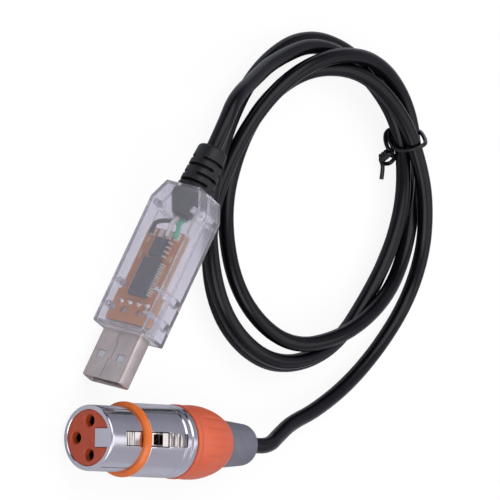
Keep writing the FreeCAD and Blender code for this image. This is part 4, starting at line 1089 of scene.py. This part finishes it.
@dataclass
class XlrPlug:
    """Latching three pin cable plug: chrome shell, colour ring and screwed boot, in its own millimetres."""

    fitter: Fitter
    segments: int = 128
    # Chrome shell, from its nose to its thread
    nose_radius: float = 8.0
    bore_radius: float = 6.8
    body_radius: float = 8.95
    seat_radius: float = 7.7
    chrome_length: float = 30.2
    thread_radius: float = 7.55
    thread_end: float = 35.4
    rear_bore_radius: float = 7.1
    insert_end: float = 16.35
    bore_chamfer: tuple[float, float] = (0.16, 0.14)
    # Rounded rim of the nose: place along the plug, and depth below the nose's radius
    nose_rim: Profile = ((0.0, 0.52), (0.05, 0.3), (0.18, 0.13), (0.34, 0.04))
    # Rounded shoulder: distance behind the ring, and depth below the body's radius
    shoulder: Profile = ((0.15, 0.12), (0.24, 0.03), (0.4, 0.0))
    # Rounded rear edge: distance before the chrome's end, and depth below the body's radius
    rear_edge: Profile = ((0.45, 0.0), (0.2, 0.06), (0.05, 0.2), (0.0, 0.4))
    # Rings of points that keep the long walls evenly meshed
    nose_rings: tuple[float, ...] = (0.56, 1.2, 3.0, 4.4, 4.95, 5.2, 6.0, 8.0, 10.0)
    body_rings: tuple[float, ...] = (15.5, 17.5, 19.6, 21.5, 23.5)
    groove_places: tuple[float, float] = (25.9, 28.1)
    groove_half: float = 0.34
    groove_depth: float = 0.3
    groove_lip: float = 0.12
    groove_flat: float = 0.1
    groove_ease: float = 0.03
    # Key, latch slot, pivot lugs and nose lines of the shell
    key_width: float = 4.5
    key_reach: float = 2.4
    key_root: float = 7.25
    key_thickness: float = 1.6
    key_round: float = 0.08
    slot: tuple[float, float] = (5.3, 26.4)
    slot_width: float = 3.7
    slot_narrow_from: float = 19.6
    slot_narrow_width: float = 3.36
    slot_overlap: float = 0.4
    slot_corner: float = 0.3
    lug_x: tuple[float, float] = (23.6, 26.4)
    lug_z: tuple[float, float] = (5.5, 7.6)
    lug_thick: float = 0.9
    nose_line_deg: float = 62.0
    nose_line_start: float = 1.0
    nose_line_half: float = 0.22
    nose_line_depth: float = 0.2
    nose_line_past: float = 0.4
    # Colour ring: distance from its front and its rear face, and radius
    ring_start: float = 11.5
    ring_end: float = 13.2
    ring_front: Profile = ((0.0, 7.74), (0.0, 8.35), (0.03, 8.45), (0.12, 8.55), (0.56, 9.08), (0.7, 9.18),
                           (0.85, 9.2))
    ring_rear: Profile = ((-0.3, 9.2), (-0.1, 9.15), (0.0, 9.0), (0.0, 7.74))
    # Lever: tooth, plate, step, thumb pad, and the web and barrel at its pivot
    pivot: tuple[float, float] = (25.0, 6.6)
    pin_radius: float = 0.45
    pin_half: float = 2.8
    pin_hole_radius: float = 0.49
    pin_hole_half: float = 3.0
    latch_width: float = 3.2
    latch_top: float = 7.5
    latch_pad: float = 8.75
    latch_thick: float = 0.75
    tooth_x: tuple[float, float] = (6.1, 8.8)
    tooth_drop: float = 0.7
    tooth_groove_x: tuple[float, float] = (6.55, 6.8)
    tooth_groove_pitch: float = 0.62
    tooth_groove_drop: float = 0.78
    tooth_groove_rise: float = 0.16
    tooth_groove_count: int = 4
    plate_x: tuple[float, float] = (8.78, 18.1)
    step_x: tuple[float, float] = (17.4, 18.15)
    pad_x: tuple[float, float] = (17.4, 25.2)
    web_x: tuple[float, float] = (24.05, 24.8)
    web_below_pad: float = 0.2
    hinge_x: tuple[float, float] = (24.1, 25.9)
    hinge_z: tuple[float, float] = (5.7, 7.5)
    hinge_round: float = 0.6
    latch_window: tuple[float, float] = (15.4, 17.36)
    latch_window_half: float = 1.25
    latch_window_z: tuple[float, float] = (-2.0, 0.6)
    rib_first: float = 19.8
    rib_pitch: float = 2.05
    rib_count: int = 3
    rib_half: float = 0.42
    rib_z: tuple[float, float] = (-0.3, 0.43)
    rib_round: float = 0.1
    # Leaf spring: start, bend and tip along the plug, then its heights
    leaf_x: tuple[float, float, float] = (6.0, 9.6, 15.0)
    leaf_seat: float = 2.3
    leaf_top: float = 6.65
    leaf_thick: float = 0.2
    leaf_half: float = 1.1
    leaf_keep: float = 0.84
    # Boot: its lip and groove from its front face, then the barrel's arc through three points
    boot_front: float = 30.35
    lip: Profile = ((0.0, 7.65), (0.0, 8.95), (0.05, 9.08), (0.18, 9.15), (1.34, 9.15), (1.46, 9.1), (1.5, 9.0),
                    (1.53, 8.62), (1.6, 8.6))
    barrel_root: Profile = ((-0.07, 8.6), (-0.03, 8.66), (0.0, 8.85))
    barrel_arc: tuple[tuple[float, float], ...] = ((32.2, 8.85), (35.0, 9.15), (45.9, 6.45))
    barrel_steps: int = 20
    barrel_end_round: tuple[float, float] = (0.12, 0.02)
    boot_mouth: Profile = ((0.0, 6.32), (0.0, 6.2))
    boot_inside: Profile = ((43.0, 6.2), (42.7, 6.4), (41.05, 6.4), (36.35, 7.65))
    # Flutes: how many, points from one to the next, and where along the barrel they start, end and fade
    flute_count: int = 22
    flute_steps: int = 8
    flute_depth: float = 0.26
    flute_from: float = 34.2
    flute_before_end: float = 1.2
    flute_fade_from: float = 33.6
    flute_fade_before_end: float = 0.6
    flute_fade_power: float = 0.6
    # Section of a flute: points from its middle, and share of its depth
    flute_section: tuple[tuple[int, float], ...] = ((0, 1.0), (1, 0.45))
    flute_skin: float = 6.41
    station_match: float = 0.02
    # Bend relief: its section up to the rounded tip
    relief_section: Profile = ((41.2, 2.25), (41.2, 6.25), (42.7, 6.25), (43.0, 6.05), (45.9, 6.05), (49.0, 5.8),
                               (52.0, 5.52), (54.2, 5.32))
    relief_end: float = 57.6
    relief_bore: float = 2.25
    relief_mouth: float = 0.15
    relief_tip_radius: float = 5.2
    relief_round: float = 2.4
    relief_round_steps: int = 8

    def build(self) -> list[bpy.types.Object]:
        """Make the plug's pieces.

        Returns:
            The shell, ring, lever, leaf spring, boot and bend relief.
        """
        return [self._shell(), self._ring(), self._latch(), self._leaf(), self._boot(), self._relief()]

    def _shell_outline(self) -> list[tuple[float, float]]:
        """Outline of the turned shell, without its key, slot and lugs.

        Returns:
            Points of x and radius.
        """
        nose, body, bore = self.nose_radius, self.body_radius, self.bore_radius
        outline = [(self.bore_chamfer[0], bore), (0.0, bore + self.bore_chamfer[1])]
        outline += [(x, nose - below) for x, below in self.nose_rim] + [(x, nose) for x in self.nose_rings]
        outline += [(self.ring_start, nose), (self.ring_start, self.seat_radius),
                    (self.ring_end + self.shoulder[0][0], self.seat_radius)]
        outline += [(self.ring_end + behind, body - below) for behind, below in self.shoulder]
        outline += [(x, body) for x in self.body_rings]
        half, depth, lip = self.groove_half, self.groove_depth, self.groove_lip
        flat, ease = self.groove_flat, self.groove_ease
        for x in self.groove_places:
            outline += [(x - half - lip, body), (x - half, body - ease), (x - flat, body - depth + ease),
                        (x, body - depth), (x + flat, body - depth + ease), (x + half, body - ease),
                        (x + half + lip, body)]
        end = self.chrome_length
        outline += [(end - before, body - below) for before, below in self.rear_edge]
        return outline + [(end, self.thread_radius), (self.thread_end, self.thread_radius),
                          (self.thread_end, self.rear_bore_radius), (self.insert_end, self.rear_bore_radius),
                          (self.insert_end, bore)]

    def _cross_bar(self, radius: float, half_length: float) -> bpy.types.Object:
        """Round bar across the plug at the lever's pivot, to cut a pin's hole with.

        Args:
            radius: Its radius.
            half_length: How far it reaches to each side.

        Returns:
            The bar.
        """
        bar = turned([(-half_length, radius), (half_length, radius), (half_length, AXIS_RADIUS),
                      (-half_length, AXIS_RADIUS)], 24)
        x, height = self.pivot
        bar.data.transform(Matrix.Translation((x, 0.0, height)) @ Matrix.Rotation(math.pi / 2, 4, "Z"))
        return bar

    def _shell(self) -> bpy.types.Object:
        """Chromed shell with its key, latch slot, grooves and nose lines.

        Returns:
            The shell.
        """
        shell = turned(self._shell_outline(), self.segments)
        half_key, half_slot, narrow = self.key_width / 2, self.slot_width / 2, self.slot_narrow_width / 2
        key = block((0.0, self.key_thickness), (-half_key, half_key), (self.key_reach, self.key_root),
                    self.key_round)
        carve(shell, key, operation="UNION")
        sides = ((-half_slot - self.lug_thick, -half_slot), (half_slot, half_slot + self.lug_thick))
        carve(shell, *[block(self.lug_x, side, self.lug_z) for side in sides], operation="UNION")
        deep, lap = (0.0, self.body_radius + PAST), self.slot_overlap
        slot = block((self.slot[0], self.slot_narrow_from + lap), (-half_slot, half_slot), deep,
                     self.slot_corner, 2)
        rear = block((self.slot_narrow_from - lap, self.slot[1]), (-narrow, narrow), deep, self.slot_corner, 2)
        carve(slot, rear, operation="UNION")
        span = (self.nose_line_start, self.ring_start + self.nose_line_past)
        cut = (self.nose_radius - self.nose_line_depth, self.nose_radius + PAST)
        half = self.nose_line_half
        lines = [spun_about_x(block(span, (-half, half), cut, 0.08, 2), side * self.nose_line_deg)
                 for side in (-1, 1)]
        carve(shell, slot, self._cross_bar(self.pin_radius, self.pin_half), *lines)
        soften(shell, 0.07, 50.0)
        return self.fitter.fit(shell, "plug_shell", CHROME, "plug_chrome", instead_of=["xlr_housing"],
                               smooth_deg=32.0, even_faces=True)

    def _ring(self) -> bpy.types.Object:
        """Colour ring, bevelled towards the nose.

        Returns:
            The ring.
        """
        outline = along(self.ring_front, self.ring_start) + along(self.ring_rear, self.ring_end)
        ring = turned(outline, self.segments)
        return self.fitter.fit(ring, "colour_band", RING_ORANGE, "ring_orange", instead_of=["color_ring"])

    def _latch(self) -> bpy.types.Object:
        """Sprung lever: grooved tooth, bright plate under the ring, and a ribbed thumb pad.

        Returns:
            The lever.
        """
        half, thick, top, pad = self.latch_width / 2, self.latch_thick, self.latch_top, self.latch_pad
        across = (-half, half)
        lever = block(self.tooth_x, across, (top - self.tooth_drop - thick, top))
        tooth_middle = sum(self.tooth_x) / 2
        choose(lever, lambda co: co.x < tooth_middle and co.z > top - self.tooth_drop)
        reshape(bpy.ops.transform.translate, value=(0, 0, -self.tooth_drop))
        start, end = self.tooth_groove_x
        grooves = [block((start + k * self.tooth_groove_pitch, end + k * self.tooth_groove_pitch),
                         (-half - PAST, half + PAST),
                         (top - self.tooth_groove_drop + k * self.tooth_groove_rise, top + PAST))
                   for k in range(self.tooth_groove_count)]
        carve(lever, *grooves)
        parts = [block(self.plate_x, across, (top - thick, top)),
                 block(self.step_x, across, (top - thick, pad)),
                 block(self.pad_x, across, (pad - thick, pad)),
                 block(self.web_x, across, (self.pivot[1], pad - self.web_below_pad)),
                 block(self.hinge_x, across, self.hinge_z, self.hinge_round)]
        low, high = self.rib_z
        for k in range(self.rib_count):
            middle = self.rib_first + k * self.rib_pitch
            parts.append(block((middle - self.rib_half, middle + self.rib_half), across, (pad + low, pad + high),
                               self.rib_round, 2))
        carve(lever, *parts, operation="UNION")
        low, high = self.latch_window_z
        carve(lever, block(self.latch_window, (-self.latch_window_half, self.latch_window_half),
                           (top + low, top + high)))
        carve(lever, self._cross_bar(self.pin_hole_radius, self.pin_hole_half))
        soften(lever, 0.06, 40.0)
        return self.fitter.fit(lever, "thumb_latch", LATCH_NICKEL, "latch_steel", Body.LATCH, ["xlr_latch"])

    def _leaf(self) -> bpy.types.Object:
        """Leaf spring under the lever, bent up to meet it. The real one flattens as the lever is pressed; this
        piece keeps its raised shape.

        Returns:
            The leaf spring.
        """
        start, bend, tip = self.leaf_x
        seat, thick, half = self.leaf_seat, self.leaf_thick, self.leaf_half
        leaf = block((start, bend), (-half, half), (seat, seat + thick))
        choose(leaf, lambda co: co.x > bend - thick)
        rise = self.leaf_top - thick - seat
        reshape(bpy.ops.mesh.extrude_region_move, TRANSFORM_OT_translate={"value": (tip - bend, 0, rise)})
        soften(leaf, 0.04, 20.0)
        leaf = self.fitter.fit(leaf, "lever_leaf_spring", SPRING_STEEL, "spring_steel",
                               instead_of=["latch_spring"])
        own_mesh(leaf)
        return leaf

    def _barrel_radius(self, x: float) -> float:
        """Find the barrel's radius on an arc through three points.

        Args:
            x: Place along the plug.

        Returns:
            The radius.
        """
        (ax, ay), (bx, by), (cx, cy) = self.barrel_arc
        a, b, c = ax * ax + ay * ay, bx * bx + by * by, cx * cx + cy * cy
        d = 2 * (ax * (by - cy) + bx * (cy - ay) + cx * (ay - by))
        ux = (a * (by - cy) + b * (cy - ay) + c * (ay - by)) / d
        uy = (a * (cx - bx) + b * (ax - cx) + c * (bx - ax)) / d
        return uy + math.sqrt((ax - ux) ** 2 + (ay - uy) ** 2 - (x - ux) ** 2)

    def _in_flute(self, co: Vector, x: float, offset: int) -> bool:
        """Find whether a point of the barrel's skin is in a flute.

        Args:
            co: The point.
            x: Station along the plug that it has to be at.
            offset: Points from a flute's middle that it has to be at.

        Returns:
            Whether it is.
        """
        step = 2 * math.pi / (self.flute_count * self.flute_steps)
        index = round(math.atan2(co.z, co.y) / step) % self.flute_steps
        on_skin = abs(co.x - x) < self.station_match and math.hypot(co.y, co.z) > self.flute_skin
        return on_skin and min(index, self.flute_steps - index) == offset

    def _boot(self) -> bpy.types.Object:
        """Fluted barrel with a lip at its front, hollow for the thread and the bend relief.

        Returns:
            The boot.
        """
        barrel, end = self.barrel_arc[0][0], self.barrel_arc[-1][0]
        stations = [barrel + (end - barrel) * k / self.barrel_steps for k in range(1, self.barrel_steps + 1)]
        before, above = self.barrel_end_round
        outline = along(self.lip, self.boot_front) + along(self.barrel_root, barrel)
        outline += [(x, self._barrel_radius(x)) for x in stations[:-1]]
        outline += [(end - before, self._barrel_radius(end) + above)] + along(self.boot_mouth, end)
        outline += self.boot_inside
        boot = turned(outline, self.flute_count * self.flute_steps)
        fade = self.flute_fade_from
        for x in [x for x in stations if self.flute_from < x < end - self.flute_before_end]:
            share = math.sin(math.pi * (x - fade) / (end - self.flute_fade_before_end - fade))
            share **= self.flute_fade_power
            for offset, part in self.flute_section:
                choose(boot, lambda co: self._in_flute(co, x, offset))
                shrink = 1 - self.flute_depth * part * share / self._barrel_radius(x)
                reshape(bpy.ops.transform.resize, value=(1, shrink, shrink))
        return self.fitter.fit(boot, "screw_boot", BOOT_CORAL, "boot_coral", Body.REAR_BOOT, ["boot"], 50.0)

    def _relief(self) -> bpy.types.Object:
        """Rubber bend relief with a shoulder in the boot and a well rounded tip.

        Returns:
            The relief.
        """
        tip, round_mm, mouth = self.relief_end, self.relief_round, self.relief_mouth
        outline = list(self.relief_section)
        for k in range(self.relief_round_steps + 1):
            turn = math.radians(90 * k / self.relief_round_steps)
            outline.append((tip - round_mm + round_mm * math.sin(turn),
                            self.relief_tip_radius - round_mm + round_mm * math.cos(turn)))
        outline += [(tip, self.relief_bore + mouth), (tip - mouth, self.relief_bore)]
        relief = turned(outline)
        return self.fitter.fit(relief, "rubber_bend_relief", RELIEF_GREY, "relief_grey", Body.REAR_RELIEF,
                               ["bend_relief"], 40.0)


@dataclass
class Dongle:
    """The clear dongle's steel plug, strain relief and wires, in its own millimetres."""

    fitter: Fitter
    # Folded steel shell, its windows and the seam of its fold
    plug_front: float = 13.2
    plug_back: float = -1.9
    plug_width: float = 12.0
    plug_height: float = 4.5
    steel: float = 0.3
    corner: float = 0.6
    window_x: float = 7.0
    window_y: float = 3.05
    window_length: float = 2.0
    window_width: float = 2.3
    window_round: float = 0.22
    seam: tuple[Point, ...] = ((-1.5, 3.2, -0.25), (3.2, 7.6, 0.3), (7.6, 13.3, -0.35))
    seam_steps: tuple[Point, ...] = ((3.2, -0.3, 0.35), (7.6, -0.4, 0.35))
    seam_half: float = 0.05
    seam_depth: float = 0.12
    # Strain relief: rounded tip and root from their ends, then the part inside the case
    relief_tip: float = -51.4
    wall_out: float = -39.46
    tip_section: Profile = ((0.1, 2.03), (0.0, 2.15), (0.0, 2.9), (0.1, 3.25), (0.32, 3.55), (0.7, 3.8))
    root_section: Profile = ((-0.2, 4.54), (0.0, 4.4), (0.0, 3.6))
    inner_section: Profile = ((-38.44, 3.6), (-38.44, 4.55), (-38.3, 4.7), (-37.1, 4.7), (-36.94, 4.6),
                              (-35.2, 3.85), (-32.7, 2.68), (-32.54, 2.5), (-32.54, 2.03))
    flat_x: tuple[float, float] = (0.05, -32.0)
    flat_half: float = 4.05
    flat_reach: float = 6.0
    slot_first: float = 1.5
    slot_pitch: float = 2.15
    slot_count: int = 4
    slot_width: float = 0.85
    slot_core: float = 2.93
    slot_reach: float = 6.0
    web_half: float = 1.2
    web_reach: float = 7.0
    web_round: float = 0.35
    # Wires: place and height where they run on from their pads, and how they fan out from the jacket
    wire_mm: float = 1.15
    wire_start: float = -31.9
    wire_flare: Point = (-30.9, 1.3, 0.25)
    wire_fan: Point = (-29.6, 0.45, 2.7)
    wire_pads: Profile = ((-28.3, 3.5), (-27.2, 3.42), (-26.4, 3.38), (-25.5, 3.38))
    wires: tuple[tuple[str, str, Moulded, float, tuple[float, float]], ...] = (
        ("lead_wire_black", "wire_black", WIRE_BLACK, -3.75, (-0.736, -0.425)),
        ("lead_wire_white", "wire_white", WIRE_WHITE, 1.25, (0.0, 0.85)),
        ("lead_wire_green", "wire_green", WIRE_GREEN, 3.75, (0.736, -0.425)))

    def build(self) -> None:
        """Make the dongle's pieces."""
        self._steel_shell()
        self._strain_relief()
        self._wires()

    def _steel_shell(self) -> None:
        """Folded shell with two rounded windows in each broad face and the fold's seam."""
        shell = long_bar((self.plug_back, self.plug_front), self.plug_width, self.plug_height, self.corner)
        inside = long_bar((self.plug_back - PAST, self.plug_front + PAST), self.plug_width - 2 * self.steel,
                          self.plug_height - 2 * self.steel, self.corner - self.steel)
        tools = [inside]
        length, width = self.window_length / 2, self.window_width / 2
        for side in (-1, 1):
            middle = side * self.window_y
            tools.append(block((self.window_x - length, self.window_x + length), (middle - width, middle + width),
                               (-5, 5), self.window_round))
        half, cut = self.seam_half, (self.plug_height / 2 - self.seam_depth, self.plug_height / 2 + PAST)
        tools += [block((first, last), (y - half, y + half), cut) for first, last, y in self.seam]
        tools += [block((x - half, x + half), (y_from, y_to), cut) for x, y_from, y_to in self.seam_steps]
        carve(shell, *tools)
        soften(shell, 0.05, 50.0)
        self.fitter.fit(shell, "folded_plug_shell", USB_STEEL, "usb_steel", instead_of=["usb_shell"],
                        smooth_deg=30.0)

    def _strain_relief(self) -> None:
        """Tapered relief with rounded rings between staggered slots, a neck and an inner flange."""
        out, reach = self.wall_out, self.flat_reach
        outline = along(self.tip_section, self.relief_tip) + along(self.root_section, out)
        relief = turned(outline + list(self.inner_section))
        tools = [block((out + self.flat_x[0], self.flat_x[1]), (-reach, reach), height)
                 for height in ((self.flat_half, reach), (-reach, -self.flat_half))]
        for k in range(self.slot_count):
            x = out - self.slot_first - k * self.slot_pitch
            low, high = x - self.slot_width / 2, x + self.slot_width / 2
            core, rim, web_reach = self.slot_core, self.slot_reach, self.web_reach
            slot = turned([(low, core), (low, rim), (high, rim), (high, core)], 72)
            web = block((low - PAST, high + PAST), (-self.web_half, self.web_half), (-web_reach, web_reach),
                        self.web_round)
            carve(slot, spun_about_x(web, 90.0 * ((k + 1) % 2)))
            tools.append(slot)
        carve(relief, *tools)
        soften(relief, 0.16, 50.0, 3)
        self.fitter.fit(relief, "cable_strain_relief", RELIEF_RUBBER, "relief_black", instead_of=["strain_relief"],
                        smooth_deg=45.0)

    def _wires(self) -> None:
        """Three insulated wires from the jacket to their solder pads."""
        flare_x, flare, lift = self.wire_flare
        fan_x, fan, fan_height = self.wire_fan
        for name, slot, finish, pad_y, (start_y, start_z) in self.wires:
            route = [(self.wire_start, start_y, start_z), (flare_x, start_y * flare, start_z + lift),
                     (fan_x, start_y + (pad_y - start_y) * fan, fan_height)]
            route += [(x, pad_y, height) for x, height in self.wire_pads]
            wire = smooth_line(name, route, self.wire_mm)
            self.fitter.fit(wire, name, finish, slot, instead_of=[slot], smooth_deg=60.0)


def main() -> None:
    """Build the scene piece by piece."""
    logging.basicConfig(level=logging.INFO, format="%(name)s: %(message)s")
    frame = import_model()
    nodes = frame["nodes"]
    bpy.context.scene.view_settings.view_transform = "Standard"
    CameraRig().build()
    shop = PaintShop()
    shop.dress_nodes(nodes)
    tie = TwistTie().build(shop)
    on_cable = [tie] + [nodes[name] for name in CARRIED_NODES]
    on_cable += XlrPlug(Fitter(shop, PLUG)).build()
    CableRun().build(shop, on_cable)
    Dongle(Fitter(shop, DONGLE)).build()
    Studio().build()


if __name__ == "__main__":
    main()
